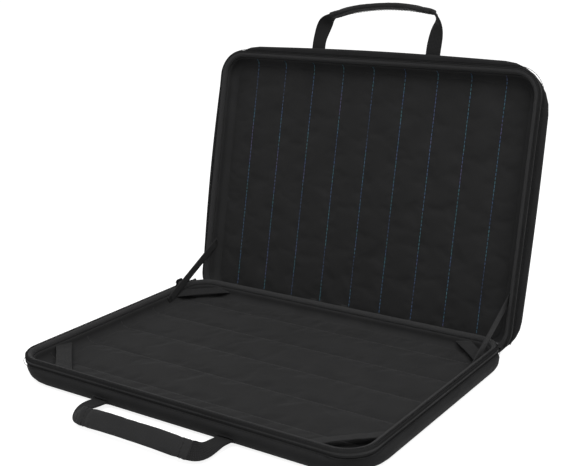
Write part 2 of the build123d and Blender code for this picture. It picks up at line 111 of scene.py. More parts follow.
# Lining and pad
LINING_INNER = 3.5 * MM  # the lining's wall, inside the bead's centre line
LINING_FLOOR = 9.5 * MM  # and its floor, below that line
LINING_ROUND = 5 * MM
PAD_INSET = LINING_INNER + LINING_ROUND
PAD_THICKNESS = 1.1 * MM
WALL_STEP = 3.2 * MM  # between the points round the lining's wall
PAD_STEP = 2.6 * MM  # between the points of a pad
PAD_LAP = 4 * MM  # how far the wall's lining runs on under the pad
PAD_PRESSURE = 1.2  # inside the pads, as they are blown up
ROW_GAPS = [gap * MM for gap in (-3.2, -1.3, 0, 1.3, 3.2)]  # of the points beside a row
STITCH_SINK = 0.4 * MM  # how far the stitches draw the pad in
THREAD_SINK = 0.38 * MM  # the thread's own depth below the pad's flat face
NEEDLE_SPREAD = 0.06 * MM  # the needle's unevenness

# Zip
ZIP_END = 7.9 * MM  # from the rear bead's centre line to the zip's ends
TAPE_INNER = 2.8 * MM  # out from the bead's centre line
TAPE_OUTER = 3.4 * MM
TAPE_RISE = 0.6 * MM  # above the coil's foot
COIL_CENTRE = 2.05 * MM
COIL_FOOT = 2.2 * MM  # above that line
COIL_TOP = 3.9 * MM
COIL_HALF_WIDTH = 0.52 * MM
COIL_FILAMENT = 0.20 * MM  # its radius
ZIP_STEP = 2.5 * MM  # between the points of the zip's line
STOP_HALF_SIZES = (0.95 * MM, 1.5 * MM, 1.15 * MM)  # out, along and up

# Seams
SEAM_THREAD = 0.22 * MM  # its radius
TAPE_THREAD = 0.24 * MM
TAPE_SEAM_OUT = 1.3 * MM  # beyond the tape's outer face
SIDES = ((-1, "left"), (1, "right"))

# Unevenness: the height of each piece's ripple, and its wavelengths
PIPING_RIPPLE = (0.05 * MM, 47 * MM, 81 * MM, 133 * MM)
WALL_RIPPLE = (0.35 * MM, 37 * MM, 61 * MM, 149 * MM, 23 * MM)
WEBBING_RIPPLE = (0.012, 2.2 * MM, 19 * MM, 41 * MM)  # the height as a share of the width
ELASTIC_RIPPLE = (0.12 * MM, 11 * MM, 17 * MM)
SPINE_RIPPLE = (0.22 * MM, 7 * MM, 12 * MM, 31 * MM)


# ---------------------------------------------------------------- the two rim frames
class Half:
    """A half's rim frame: place() takes local points to the case's frame."""

    def __init__(self, name, axes, origin):
        self.name = name
        self.axes = np.array(axes, float)
        self.origin = np.array(origin, float)

    def place(self, local):
        """Local points, x, y and depth, in the case's frame."""
        return np.asarray(local, float) @ self.axes + self.origin

    def turned(self, angle, pivot):
        """The same frame, turned by an angle about the X axis through a pivot."""
        turn = np.array([[1, 0, 0], [0, cos(angle), sin(angle)], [0, -sin(angle), cos(angle)]])
        return Half(self.name, self.axes @ turn, (self.origin - pivot) @ turn + pivot)


BASE = Half("base", [[1, 0, 0], [0, -1, 0], [0, 0, -1]], [0, 0, RIM_HEIGHT])
SHUT_LID = Half("lid", [[-1, 0, 0], [0, -1, 0], [0, 0, 1]], [0, 0, RIM_HEIGHT + RIM_GAP])
LID = SHUT_LID.turned(-OPEN_ANGLE, HINGE)
HALVES = (BASE, LID)


# ---------------------------------------------------------------- outlines
def rounded_loop(half_x, front, rear, front_round, rear_round, step):
    """A rounded rectangle as a closed line of points with outward normals.

    It starts at the middle of the rear edge and runs by the right side to the front. Each corner
    is centre + radius * (cos, sin), each straight run is divided evenly, and the counts depend on
    step alone, so every outline made with one step matches the others point for point.
    """
    side_count = ceil((RIM_FRONT - RIM_REAR) / step)
    end_count = 2 * ceil(RIM_X / step)
    arc_count = max(6, ceil(1.5 * BEAD_CORNER / step))
    corners = (
        (half_x - rear_round, rear + rear_round, rear_round, -90, side_count),
        (half_x - front_round, front - front_round, front_round, 0, end_count),
        (front_round - half_x, front - front_round, front_round, 90, side_count),
        (rear_round - half_x, rear + rear_round, rear_round, 180, end_count),
    )
    points = []
    normals = []
    for number, (x, y, radius, start, count) in enumerate(corners):
        angle = np.radians(start + 90 * np.arange(arc_count + 1) / arc_count)
        normal = np.stack([np.cos(angle), np.sin(angle)], 1)
        arc = np.array([x, y]) + radius * normal
        next_x, next_y, next_radius, next_start = corners[(number + 1) % 4][:4]
        start_normal = np.array([cos(radians(next_start)), sin(radians(next_start))])
        target = np.array([next_x, next_y]) + next_radius * start_normal
        share = np.arange(1, count)[:, None] / count
        points += [arc, arc[-1] + (target - arc[-1]) * share]
        normals += [normal, np.repeat(normal[-1:], count - 1, 0)]
    points = np.concatenate(points)
    normals = np.concatenate(normals)
    shift = end_count // 2
    return np.roll(points, shift, 0), np.roll(normals, shift, 0)


def rim_loop(growth, step):
    """The rim bead's centre line, grown outwards."""
    return rounded_loop(
        RIM_X + growth, RIM_FRONT + growth, RIM_REAR - growth,
        BEAD_CORNER + growth, BEAD_CORNER + growth, step,
    )


def shell_loop(inset, step):
    """The moulding's widest outline, pulled in."""
    return rounded_loop(
        CASE_X - inset, CASE_Y - inset, inset - CASE_Y,
        CASE_FRONT_CORNER - inset, CASE_REAR_CORNER - inset, step,
    )


def run_length(points, closed=False):
    """Distance along a line of points, and once more round to the start where it is closed."""
    line = np.concatenate([points, points[:1]]) if closed else points
    return np.concatenate([[0], np.cumsum(np.linalg.norm(np.diff(line, axis=0), axis=1))])


def sampled(values, along, places):
    """Values given along a line, read at other places along it."""
    return np.stack([np.interp(places, along, column) for column in values.T], 1)


def zip_line(growth, end=ZIP_END):
    """The part of the rim's line that carries the zip, evenly spaced, with its normals."""
    points, normals = rim_loop(0, ZIP_STEP)
    kept = points[:, 1] > RIM_REAR + end
    points, normals = points[kept], normals[kept]
    along = run_length(points)
    even = np.linspace(0, along[-1], len(along))
    normals = unit(sampled(normals, along, even))
    return sampled(points, along, even) + growth * normals, normals, even


def ripple(along, seed, height, *lengths):
    """A smooth unevenness: the mean of sines of the given wavelengths, with seeded phases."""
    phases = np.random.default_rng(seed).uniform(0, 2 * pi, len(lengths))
    waves = [np.sin(2 * pi * along / length + phase) for length, phase in zip(lengths, phases)]
    return height * np.mean(waves, axis=0)


# ---------------------------------------------------------------- meshes from grids
def grid_corners(grid):
    """The four corners of each cell of a grid, in order round the cell."""
    return np.stack([grid[:-1, :-1], grid[1:, :-1], grid[1:, 1:], grid[:-1, 1:]], 2)


def surface(name, points, loop=False, ring=False, uv=None, closed=True):
    """A mesh from a grid of points: rows run along the piece, columns go round its section.

    loop joins the last row to the first, ring the last column to the first. Where the rows end,
    each end ring is closed by a fan to its middle. uv has one more row or column where the grid
    is joined, so that a pattern never jumps.
    """
    rows, columns = points.shape[:2]
    index = np.arange(rows * columns).reshape(rows, columns)
    over = np.arange(rows + 1) % rows if loop else np.arange(rows)
    across = np.arange(columns + 1) % columns if ring else np.arange(columns)
    index = index[np.ix_(over, across)]
    vertices = points.reshape(-1, 3)
    faces = grid_corners(index).reshape(-1, 4).tolist()
    corners = [] if uv is None else [grid_corners(uv).reshape(-1, 2)]
    if ring and not loop and closed:
        for row in (0, -1):
            line = index[row]
            pole = len(vertices)
            vertices = np.concatenate([vertices, points[row].mean(0)[None]])
            fan = np.stack([line[:-1], line[1:], np.full(len(line) - 1, pole)], 1)
            faces += fan.tolist()
            if uv is not None:
                edge = uv[row]
                middle = np.repeat(edge[:-1].mean(0)[None], len(fan), 0)
                corners.append(np.stack([edge[:-1], edge[1:], middle], 1).reshape(-1, 2))
    return finished(name, vertices, faces, np.concatenate(corners) if corners else None)


def linked(name, data):
    """A new object in the scene."""
    made = bpy.data.objects.new(name, data)
    bpy.context.scene.collection.objects.link(made)
    return made


def finished(name, vertices, faces, uv=None):
    """A smooth mesh with its normals pointing outwards and its UV given by face corner."""
    mesh = bpy.data.meshes.new(name)
    mesh.from_pydata(vertices.tolist(), [], faces)
    if uv is not None:
        layer = mesh.uv_layers.new(name="Fabric")
        layer.uv.foreach_set("vector", uv.ravel().astype(np.float32))
    shape = bmesh.new()
    shape.from_mesh(mesh)
    bmesh.ops.recalc_face_normals(shape, faces=shape.faces)
    shape.to_mesh(mesh)
    shape.free()
    mesh.polygons.foreach_set("use_smooth", np.ones(len(mesh.polygons), bool))
    return linked(name, mesh)


def subdivided(piece):
    """A piece with one level of subdivision."""
    smooth = piece.modifiers.new("Subdivision", "SUBSURF")
    smooth.levels = 1
    smooth.render_levels = 1
    return piece


def joined(name, pieces):
    """Several pieces made one mesh."""
    with bpy.context.temp_override(active_object=pieces[0], selected_editable_objects=pieces):
        bpy.ops.object.join()
    pieces[0].name = name
    pieces[0].data.name = name
    return pieces[0]


def grid_uv(along, across):
    """UV in metres: the distance along the piece and the distance across it."""
    return np.stack(np.meshgrid(along, across, indexing="ij"), -1)


def same(way, count):
    """One way, given for each of a number of points."""
    return np.repeat(np.array(way, float)[None], count, 0)


def unit(vectors):
    """Vectors of length one."""
    return vectors / np.linalg.norm(vectors, axis=-1, keepdims=True)


def squared(wave, squareness):
    """A sine or cosine made squarer: its sign times |wave|^(1 - 0.85 squareness)."""
    return np.sign(wave) * np.abs(wave) ** (1 - 0.85 * squareness)


def ring_section(half_width, half_height, squareness, count):
    """A superellipse's points, from an oval (squareness 0) to nearly a box (1)."""
    angle = 2 * pi * (np.arange(count) + 0.5) / count
    x = half_width * squared(np.cos(angle), squareness)
    y = half_height * squared(np.sin(angle), squareness)
    return x, y


def carried(line, width_way, height_way, section, scale=1.0):
    """A section's points carried along a line: line + scale (x width_way + y height_way)."""
    x, y = section
    scale = np.broadcast_to(scale, len(line))[:, None]
    return (
        line[:, None]
        + (scale * x)[..., None] * width_way[:, None]
        + (scale * y)[..., None] * height_way[:, None]
    )


def section_uv(line, section, loop=False):
    """UV in metres: the distance along a line and the distance round a section."""
    around = run_length(np.stack(section, 1), closed=True)
    return grid_uv(run_length(line, closed=loop), around)


def swept(name, line, width_way, height_way, section, loop=False, scale=1.0):
    """A section carried along a line as one closed skin."""
    points = carried(line, width_way, height_way, section, scale)
    return surface(name, points, loop=loop, ring=True, uv=section_uv(line, section, loop))


def tube(name, line, radius, sides, up):
    """A round tube: at each point a circle in the plane of up and of up crossed with the run."""
    ahead = np.gradient(line, axis=0)
    side = unit(np.cross(ahead, up))
    rise = unit(np.cross(side, ahead))
    return swept(name, line, side, rise, ring_section(1.0, 1.0, 0, sides), scale=radius)


def block(name, centre, axes, half_sizes, squareness, count=16):
    """A rounded block: a superellipsoid, its middle section scaled by a second superellipse."""
    turn = np.linspace(-pi / 2, pi / 2, count // 2 + 1)[1:-1]
    reach = squared(np.cos(turn), squareness)[:, None]
    rise = squared(np.sin(turn), squareness)[:, None] * half_sizes[2]
    x, y = ring_section(half_sizes[0], half_sizes[1], squareness, count)
    local = np.stack([reach * x, reach * y, np.repeat(rise, count, 1)], -1)
    return surface(name, local @ np.array(axes, float) + np.array(centre, float), ring=True)


# ---------------------------------------------------------------- settings
def colour(name, note, value):
    """A colour that the user may change."""
    return FloatVectorProperty(
        name=name, description=note, subtype="COLOR", size=3, min=0, max=1, default=value
    )


def length(name, note, value):
    """A length that the user may change."""
    return FloatProperty(name=name, description=note, unit="LENGTH", min=0, default=value)


class CaseSizes(bpy.types.PropertyGroup):
    """Sizes of the soft parts and stitches."""

    lid_quilt_pitch: length("Lid quilting", "Between the lid's rows of stitches", 31 * MM)
    lid_quilt_rows: IntProperty(name="Lid rows", description="Rows of stitches", default=9)
    base_quilt_pitch: length("Base quilting", "Between the base's rows of stitches", 42 * MM)
    base_quilt_rows: IntProperty(name="Base rows", description="Rows of stitches", default=5)
    puff: length("Puff", "Most that the pads may rise between the rows", 0.8 * MM)
    stitch: length("Stitch", "Length of one quilting stitch", 3.4 * MM)
    thread: length("Thread", "Diameter of the quilting thread", 0.62 * MM)
    coil_pitch: length("Coil pitch", "Between two turns of the zip's coil", 1.3 * MM)
    seam_pitch: length("Seam pitch", "Between two stitches of the seams", 2.9 * MM)


class CaseColours(bpy.types.PropertyGroup):
    """Colours of the fabrics, threads and metal."""

    shell: colour("Shell", "Nylon face of the mouldings", (0.0165, 0.0165, 0.0169))
    piping: colour("Piping", "Fabric over the rim's cord and the spine", (0.0290, 0.0290, 0.0296))
    lining: colour("Lining", "Quilted lining", (0.0205, 0.0205, 0.0208))
    # The same knit as the floor's lining, its colour lighter: painted light on the upright walls,
    # which get less of the lamp above
    wall: colour("Lining wall", "Lining on the side walls", (0.0240, 0.0240, 0.0244))
    webbing: colour("Webbing", "Handles' webbing and the seams", (0.0150, 0.0150, 0.0154))
    strap: colour("Straps", "Stay straps", (0.0300, 0.0300, 0.0305))
    grip: colour("Grip", "Padded grip sleeves", (0.0200, 0.0200, 0.0205))
    elastic: colour("Elastic", "Corner bands", (0.0200, 0.0200, 0.0204))
    # The tape's colour is lighter than the shell's black: painted light, lifting the shade in the
    # groove under the bead
    tape: colour("Zip tape", "Woven tape and coil", (0.0290, 0.0290, 0.0294))
    metal: colour("Zip metal", "Lacquer on the slider, pull and stops", (0.030, 0.030, 0.032))
    foam: colour("Foam", "Foam trays inside the halves", (0.07, 0.07, 0.072))
    thread_teal: colour("Thread teal", "First colour of the quilting thread", (0.028, 0.150, 0.175))
    thread_blue: colour("Thread blue", "Second colour of the quilting thread", (0.030, 0.080, 0.200))
    thread_violet: colour("Thread violet", "Third colour", (0.080, 0.070, 0.175))


class StageSettings(bpy.types.PropertyGroup):
    """Light, floor and camera."""

    world_strength: FloatProperty(name="World", description="Light from all round", default=0.37)
    key_strength: FloatProperty(name="Key", description="Power of the lamp above", default=24.0)
    floor_glow: FloatProperty(name="Floor", description="Floor's white seen direct", default=0.86)
    lens: FloatProperty(name="Lens", description="Focal length", unit="CAMERA", default=65.82)


def sizes():
    """The user's sizes."""
    return bpy.context.scene.hard_case_sizes


def colours():
    """The user's colours."""
    return bpy.context.scene.hard_case_colours


# ---------------------------------------------------------------- materials
def new_material(name, base, roughness, sheen, specular, metallic=0.0, coat=0.0):
    """A material with its even values on the shader's own sockets."""
    material = bpy.data.materials.new(name)
    material.use_nodes = True
    shader = material.node_tree.nodes["Principled BSDF"]
    shader.inputs["Base Color"].default_value = (*base, 1)
    shader.inputs["Roughness"].default_value = roughness
    shader.inputs["Specular IOR Level"].default_value = specular
    shader.inputs["Metallic"].default_value = metallic
    shader.inputs["Coat Weight"].default_value = coat
    shader.inputs["Sheen Weight"].default_value = sheen
    shader.inputs["Sheen Roughness"].default_value = 0.5
    material.diffuse_color = (*base, 1)
    return material, material.node_tree, shader


def node(tree, kind, inputs=(), **settings):
    """A node with its settings, and its inputs as values or as links from other sockets."""
    made = tree.nodes.new(kind)
    for key, value in settings.items():
        setattr(made, key, value)
    for key, value in dict(inputs).items():
        if isinstance(value, bpy.types.NodeSocket):
            tree.links.new(value, made.inputs[key])
        else:
            made.inputs[key].default_value = value
    return made


def place_of(tree, by_uv, turn=0.0):
    """The coordinate that a pattern follows: the piece's UV in metres, or its place."""
    source = node(tree, "ShaderNodeTexCoord").outputs["UV" if by_uv else "Object"]
    return node(tree, "ShaderNodeMapping", {"Vector": source, "Rotation": (0, 0, turn)}).outputs[0]


def bands(tree, place, pitch, way, distortion=0.0):
    """Parallel ribs: a sine of the distance across them."""
    inputs = {"Vector": place, "Scale": pi / 10 / pitch, "Distortion": distortion, "Detail": 1.0}
    wave = node(
        tree, "ShaderNodeTexWave", inputs,
        wave_type="BANDS", bands_direction=way, wave_profile="SIN",
    )
    return wave.outputs["Fac"]


def cloud(tree, place, size, detail=4.0):
    """Soft random patches of about one size."""
    noise = node(
        tree, "ShaderNodeTexNoise", {"Vector": place, "Scale": 1 / size, "Detail": detail}
    )
    return noise.outputs["Fac"]


def mix_fac(tree, first, second, how):
    """Two grey patterns put together."""
    return node(tree, "ShaderNodeMath", {0: first, 1: second}, operation=how).outputs[0]


def half_sum(tree, *patterns):
    """Half the sum of grey patterns."""
    total = patterns[0]
    for pattern in patterns[1:]:
        total = mix_fac(tree, total, pattern, "ADD")
    return mix_fac(tree, total, 0.5, "MULTIPLY")


def ramp(tree, fac, stops):
    """Colours by a pattern's value."""
    made = node(tree, "ShaderNodeValToRGB", {"Fac": fac})
    elements = made.color_ramp.elements
    while len(elements) < len(stops):
        elements.new(0.5)
    for element, (position, value) in zip(elements, stops):
        element.position = position
        element.color = (*value, 1)
    return made.outputs["Color"]


def shade(base, factor):
    """A colour made lighter or darker."""
    return tuple(min(1.0, channel * factor) for channel in base)


def tint(tree, shader, fac, base, *stops):
    """Links the base colour to a pattern: each stop is its value and the shade of base there."""
    shades = [(position, shade(base, factor)) for position, factor in stops]
    tree.links.new(ramp(tree, fac, shades), shader.inputs["Base Color"])


def relief(tree, shader, layers):
    """Bump layers, each (height pattern, depth in metres), from the coarsest to the finest."""
    normal = None
    for height, depth in layers:
        inputs = {"Height": height, "Strength": 1.0, "Distance": depth}
        if normal is not None:
            inputs["Normal"] = normal
        normal = node(tree, "ShaderNodeBump", inputs).outputs["Normal"]
    tree.links.new(normal, shader.inputs["Normal"])


def woven(name, base, pitch, depth, roughness=0.8, turn=0.0, sheen=0.03, specular=0.12):
    """Plain weave: warp and weft ribs, crossed, with patches of wear in the colour."""
    material, tree, shader = new_material(name, base, roughness, sheen, specular)
    place = place_of(tree, True, turn)
    warp = bands(tree, place, pitch, "X", distortion=0.4)
    weft = bands(tree, place, pitch, "Y", distortion=0.4)
    weave = mix_fac(tree, warp, weft, "MULTIPLY")
    patches = cloud(tree, place, 18 * MM)
    slubs = cloud(tree, place, 0.9 * MM, 2.0)
    tone = half_sum(tree, patches, slubs, weave)
    tint(tree, shader, tone, base, (0.275, 0.72), (0.5, 1), (0.8, 1.35))
    relief(tree, shader, [(patches, depth * 2), (slubs, depth * 0.5), (weave, depth)])
    return material


def ribbed(name, base, pitch, depth, cross_pitch, roughness=0.75, sheen=0.02, specular=0.12):
    """Webbing, elastic and zip tape: ribs along the strip, broken by the weft's rows across it."""
    material, tree, shader = new_material(name, base, roughness, sheen, specular)
    place = place_of(tree, True)
    ribs = bands(tree, place, pitch, "Y")
    rows = bands(tree, place, cross_pitch, "X", distortion=0.3)
    texture = mix_fac(tree, ribs, rows, "MULTIPLY")
    fuzz = cloud(tree, place, 0.6 * MM, 3.0)
    tint(tree, shader, half_sum(tree, texture, fuzz), base, (0.2, 0.65), (0.45, 1), (0.8, 1.4))
    relief(tree, shader, [(fuzz, depth * 0.6), (texture, depth)])
    return material


def brushed_lining(name, base):
    """Soft knit: fine loops and a brushed nap with broad strokes in its shade."""
    material, tree, shader = new_material(name, base, 0.9, 0.04, 0.1)
    place = place_of(tree, True)
    loops = mix_fac(
        tree, bands(tree, place, 0.55 * MM, "X"), bands(tree, place, 0.75 * MM, "Y"), "MULTIPLY"
    )
    nap = cloud(tree, place, 26 * MM, 5.0)
    fuzz = cloud(tree, place, 0.5 * MM, 3.0)
    tint(tree, shader, half_sum(tree, nap, fuzz), base, (0.3, 0.78), (0.5, 1), (0.72, 1.25))
    relief(tree, shader, [(nap, 0.25 * MM), (fuzz, 0.06 * MM), (loops, 0.05 * MM)])
    return material


def iridescent_thread(name):
    """Twisted metallic thread whose colour drifts from teal through blue to violet."""
    look = colours()
    material, tree, shader = new_material(name, look.thread_blue, 0.38, 0.0, 0.5)
    place = place_of(tree, False)
    drift = cloud(tree, place, 38 * MM, 1.5)
    sparkle = cloud(tree, place, 2.5 * MM, 2.0)
    slow = mix_fac(tree, drift, 0.8, "MULTIPLY")
    tone = mix_fac(tree, slow, mix_fac(tree, sparkle, 0.2, "MULTIPLY"), "ADD")
    stops = (
        (0.36, look.thread_violet), (0.44, look.thread_blue), (0.50, look.thread_teal),
        (0.56, look.thread_blue), (0.64, shade(look.thread_blue, 0.5)),
    )
    tree.links.new(ramp(tree, tone, stops), shader.inputs["Base Color"])
    twist = bands(tree, place_of(tree, True, radians(35)), 0.5 * MM, "X")
    relief(tree, shader, [(twist, 0.08 * MM)])
    return material


def lacquered_metal(name, base):
    """Black lacquer over die-cast metal, rubbed a little."""
    material, tree, shader = new_material(name, base, 0.34, 0.0, 0.5, 0.6, 0.3)
    place = place_of(tree, False)
    rub = cloud(tree, place, 1.6 * MM, 6.0)
    tint(tree, shader, rub, base, (0.4, 1), (0.62, 1.3), (0.72, 2.6))
    relief(tree, shader, [(rub, 0.02 * MM)])
    return material


def nylon(name, base, specular=0.3):
    """Extruded nylon filament, a little glossy."""
    material, tree, shader = new_material(name, base, 0.5, 0.0, specular)
    place = place_of(tree, False)
    grain = cloud(tree, place, 3 * MM, 3.0)
    tint(tree, shader, grain, base, (0.35, 0.8), (0.65, 1.3))
    relief(tree, shader, [(grain, 0.03 * MM)])
    return material


def cell_foam(name, base):
    """Closed-cell foam: small round cells."""
    material, tree, shader = new_material(name, base, 0.95, 0.0, 0.2)
    place = place_of(tree, False)
    texture = node(tree, "ShaderNodeTexVoronoi", {"Vector": place, "Scale": 1 / (1.2 * MM)})
    cells = texture.outputs["Distance"]
    tint(tree, shader, cells, base, (0.1, 0.7), (0.5, 1))
    relief(tree, shader, [(cells, 0.15 * MM)])
    return material


MATERIALS = {}


def finishes():
    """How each of the case's finishes is made: a function and its values after the name."""
    look = colours()
    return {
        "shell nylon": (woven, look.shell, 0.9 * MM, 0.10 * MM, 0.8, 0.0, 0.03, 0.05),
        "piping cloth": (woven, look.piping, 0.7 * MM, 0.08 * MM, 0.78, radians(45), 0.05),
        "grip cloth": (woven, look.grip, 0.8 * MM, 0.09 * MM, 0.8, 0.0, 0.04),
        "handle webbing": (ribbed, look.webbing, 1.5 * MM, 0.22 * MM, 1.1 * MM),
        "strap webbing": (ribbed, look.strap, 1.2 * MM, 0.15 * MM, 0.9 * MM),
        "ribbed elastic": (ribbed, look.elastic, 1.15 * MM, 0.16 * MM, 0.7 * MM, 0.8, 0.04),
        # The zip tape takes that lightened colour: painted light in the groove's shade
        "zip tape": (ribbed, look.tape, 0.6 * MM, 0.08 * MM, 0.8 * MM, 0.9, 0.0, 0.0),
        "brushed lining": (brushed_lining, look.lining),
        # A lighter copy of the lining: painted light on the upright walls
        "lining wall": (brushed_lining, look.wall),
        "lid thread": (iridescent_thread,),
        "base thread": (nylon, shade(look.lining, 1.15)),
        "seam thread": (nylon, look.webbing, 0.05),
        # The coil takes half of the tape's lightened colour
        "zip coil": (nylon, shade(look.tape, 0.5), 0.1),
        "zip metal": (lacquered_metal, look.metal),
        "tray foam": (cell_foam, look.foam),
    }


def material(name):
    """One of the case's finishes, made when it is first asked for."""
    if name not in MATERIALS:
        maker, *values = finishes()[name]
        MATERIALS[name] = maker(name, *values)
    return MATERIALS[name]


def dress(piece, finish, body=None, replaces=()):
    """Gives a piece its material and slot, puts it on its body and hides the nodes it replaces."""
    piece.data.materials.clear()
    piece.data.materials.append(material(finish))
    if body is not None:
        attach(piece, body)
    if replaces:
        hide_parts(*replaces)
    return piece


# ---------------------------------------------------------------- moulded halves
def crowned(line, normals):
    """How far the lid's sides bow out: each one's crown times (1 - t^2)^1.5, where t is the
    distance from its middle over the half side, and none towards the spine."""
    right, left = LID_SIDE_CROWNS  # of the case, so the lid's own x axis points to the left one
    fall_x = np.clip(1 - (line[:, 0] / CASE_X) ** 2, 0, 1) ** 1.5
    fall_y = np.clip(1 - (line[:, 1] / CASE_Y) ** 2, 0, 1) ** 1.5
    across = np.where(normals[:, 0] > 0, left, right) * np.abs(normals[:, 0]) * fall_y
    ahead = LID_CROWN * np.maximum(normals[:, 1], 0) * fall_x
    return normals * (across + ahead)[:, None]


def outline_uv(outline, spread):
    """UV for rings that follow one outline: its points, moved out by each ring's distance."""
    line, normals = outline
    uv = line[None] + spread[:, None, None] * normals[None]
    return np.concatenate([uv, uv[:, :1]], 1)


def level(line, depth=0.0):
    """An outline's points at one depth, or its normals with none."""
    return np.column_stack([line, np.full(len(line), depth)])


def moulding(half):
    """The moulded shell: rings from the inner floor up under the flange, over the rounded lip,
    down the wall and round the edge to the flat face. Each ring is an outline at one depth."""
    step = SHELL_STEP
    quarter = np.linspace(0, pi / 2, 9)
    inner_round = EDGE_ROUND - SHELL_WALL
    inner_floor = RIM_HEIGHT - SHELL_WALL
    flange_top = BEAD_RADIUS
    rings = [(shell_loop(EDGE_ROUND + FACE_MIDDLE, step), inner_floor)]
    for turn in quarter[::-2]:
        inset = SHELL_WALL + inner_round * (1 - cos(turn))
        rings.append((shell_loop(inset, step), inner_floor - inner_round * (1 - sin(turn))))
    rings.append((shell_loop(SHELL_WALL, step), flange_top + FLANGE))
    rings.append((rim_loop(-FLANGE_REACH, step), flange_top + FLANGE))
    rings.append((rim_loop(-FLANGE_REACH, step), flange_top))
    for turn in quarter[::2]:
        inset = LIP_ROUND * (1 - sin(turn))
        rings.append((shell_loop(inset, step), flange_top + LIP_ROUND * (1 - cos(turn))))
    for turn in quarter:
        inset = EDGE_ROUND * (1 - cos(turn))
        rings.append((shell_loop(inset, step), RIM_HEIGHT - EDGE_ROUND * (1 - sin(turn))))
    rings.append((shell_loop(EDGE_ROUND + FACE_RING, step), RIM_HEIGHT))
    rings.append((shell_loop(EDGE_ROUND + FACE_MIDDLE, step), RIM_HEIGHT))
    points = []
    for (line, normals), depth in rings:
        straight = half is BASE or line[:, 0].max() < RIM_X
        bow = 0 if straight else crowned(line, normals)
        points.append(level(line + bow, depth))
    points = np.stack(points)
    spread = run_length(points[:, 0])
    spread = spread[-1] - spread
    uv = outline_uv(shell_loop(EDGE_ROUND, step), spread - spread[-3])
    return surface(f"{half.name}_moulding", half.place(points), ring=True, uv=uv)


class CASE_OT_mouldings(bpy.types.Operator):
    """Make the two moulded halves and finish the foam inside them"""

    bl_idname = "hard_case.mouldings"
    bl_label = "Moulded Halves"

    def execute(self, context):
        for half in HALVES:
            shell = f"{half.name}_shell"
            dress(moulding(half), "shell nylon", half.name, [shell])
            foam = frame["nodes"][f"{half.name}_foam"]
            dress(foam, "tray foam")
        return {"FINISHED"}


# ---------------------------------------------------------------- rim bead and zip
def rim_bead(half):
    """The piping: a tube round the rim, its radius uneven by a hundredth where it is sewn."""
    line, normals = rim_loop(0, PIPING_STEP)
    along = run_length(line, closed=True)[:-1]
    radius = PIPING_RADIUS * (1 - PIPING_DRAW * np.cos(2 * pi * along / sizes().seam_pitch))
    radius -= ripple(along, 3, *PIPING_RIPPLE)
    line = line + normals * (PIPING_RADIUS - BEAD_RADIUS)
    up = same((0, 0, -1), len(line)) @ half.axes
    section = ring_section(1.0, 1.0, 0, 20)
    return swept(
        f"{half.name}_piping", half.place(level(line)), level(normals) @ half.axes, up,
        section, True, radius,
    )


def band_section(inner, outer, top, foot):
    """A flat band's section, as distances out from the bead and down from its centre."""
    x, y = ring_section((outer - inner) / 2, (top - foot) / 2, 0.75, 20)
    return x + (inner + outer) / 2, y - (top + foot) / 2


def zip_tape(half):
    """The woven tape: a thin upright band carried round the outside of the bead, down to the
    flange."""
    line, normals, _ = zip_line(0)
    down = same((0, 0, 1), len(line)) @ half.axes
    section = band_section(TAPE_INNER, TAPE_OUTER, COIL_FOOT + TAPE_RISE, -BEAD_RADIUS)
    return swept(
        f"{half.name}_tape", half.place(level(line)), level(normals) @ half.axes, down, section
    )


def zip_coil(half):
    """The coil: a filament on a flattened helix, (out, up) = (a cos t, b sin t) as t runs on."""
    per_turn = 10
    guide, normals, even = zip_line(0)
    turns = round(even[-1] / sizes().coil_pitch)
    turn = np.arange(turns * per_turn + 1) / per_turn
    along = turn / turns * even[-1]
    guide = sampled(guide, even, along)
    normals = sampled(normals, even, along)
    phase = 2 * pi * turn + (0 if half is BASE else pi)
    reach = (COIL_TOP - COIL_FOOT) / 2
    out = COIL_CENTRE + COIL_HALF_WIDTH * np.cos(phase)
    lift = COIL_FOOT + reach + (reach - COIL_FILAMENT) * np.sin(phase)
    local = np.column_stack([guide + normals * out[:, None], -lift])
    away = local - level(guide + normals * COIL_CENTRE, -(COIL_FOOT + reach))
    return tube(f"{half.name}_coil", half.place(local), COIL_FILAMENT, 5, away @ half.axes)


def stitched(name, line, up, pitch, radius, duty=0.72):
    """A row of stitches as one thread that rises over each stitch as s = |sin| and dips between.

    Its radius is the thread's times 0.25 + 0.75 (s / duty)^0.6, and s over duty counts as one.
    """
    along = run_length(line)
    count = max(1, round(along[-1] / pitch))
    even = np.linspace(0, along[-1], count * 8 + 1)
    up = sampled(up, along, even)
    swell = np.abs(np.sin(pi * even / along[-1] * count))
    size = radius * (0.25 + 0.75 * np.clip(swell / duty, 0, 1) ** 0.6)
    lifted = sampled(line, along, even) + unit(up) * (radius * (swell - 0.7))[:, None]
    return tube(name, lifted, size, 6, up)


def seam(name, line, up, radius=SEAM_THREAD):
    """A row of stitches at the pitch of the case's seams."""
    return stitched(name, line, up, sizes().seam_pitch, radius)


def tape_seam(half):
    """The seam that holds the tape to the moulding's flange: stitches along the zip's line."""
    line, _, _ = zip_line(TAPE_OUTER + TAPE_SEAM_OUT, ZIP_END + 1 * MM)
    up = same((0, 0, -1), len(line)) @ half.axes
    return seam(f"{half.name}_tape_seam", half.place(level(line, BEAD_RADIUS)), up, TAPE_THREAD)


def end_stops():
    """The two clamps that hold the zip's ends: a rounded block on each end of the coil's line."""
    line, normals, _ = zip_line(COIL_CENTRE)
    stops = []
    for end, name in ((0, "right"), (-1, "left")):
        out = np.append(normals[end], 0)
        along = np.array([-out[1], out[0], 0])
        inwards = along if end == 0 else -along
        centre = np.append(line[end], -(COIL_FOOT + COIL_TOP) / 2) + inwards * STOP_HALF_SIZES[1]
        axes = np.array([out, along, [0, 0, -1]]) @ BASE.axes
        stops.append(block(f"zip_stop_{name}", BASE.place(centre), axes, STOP_HALF_SIZES, 0.6))
    return joined("zip_stops", stops)


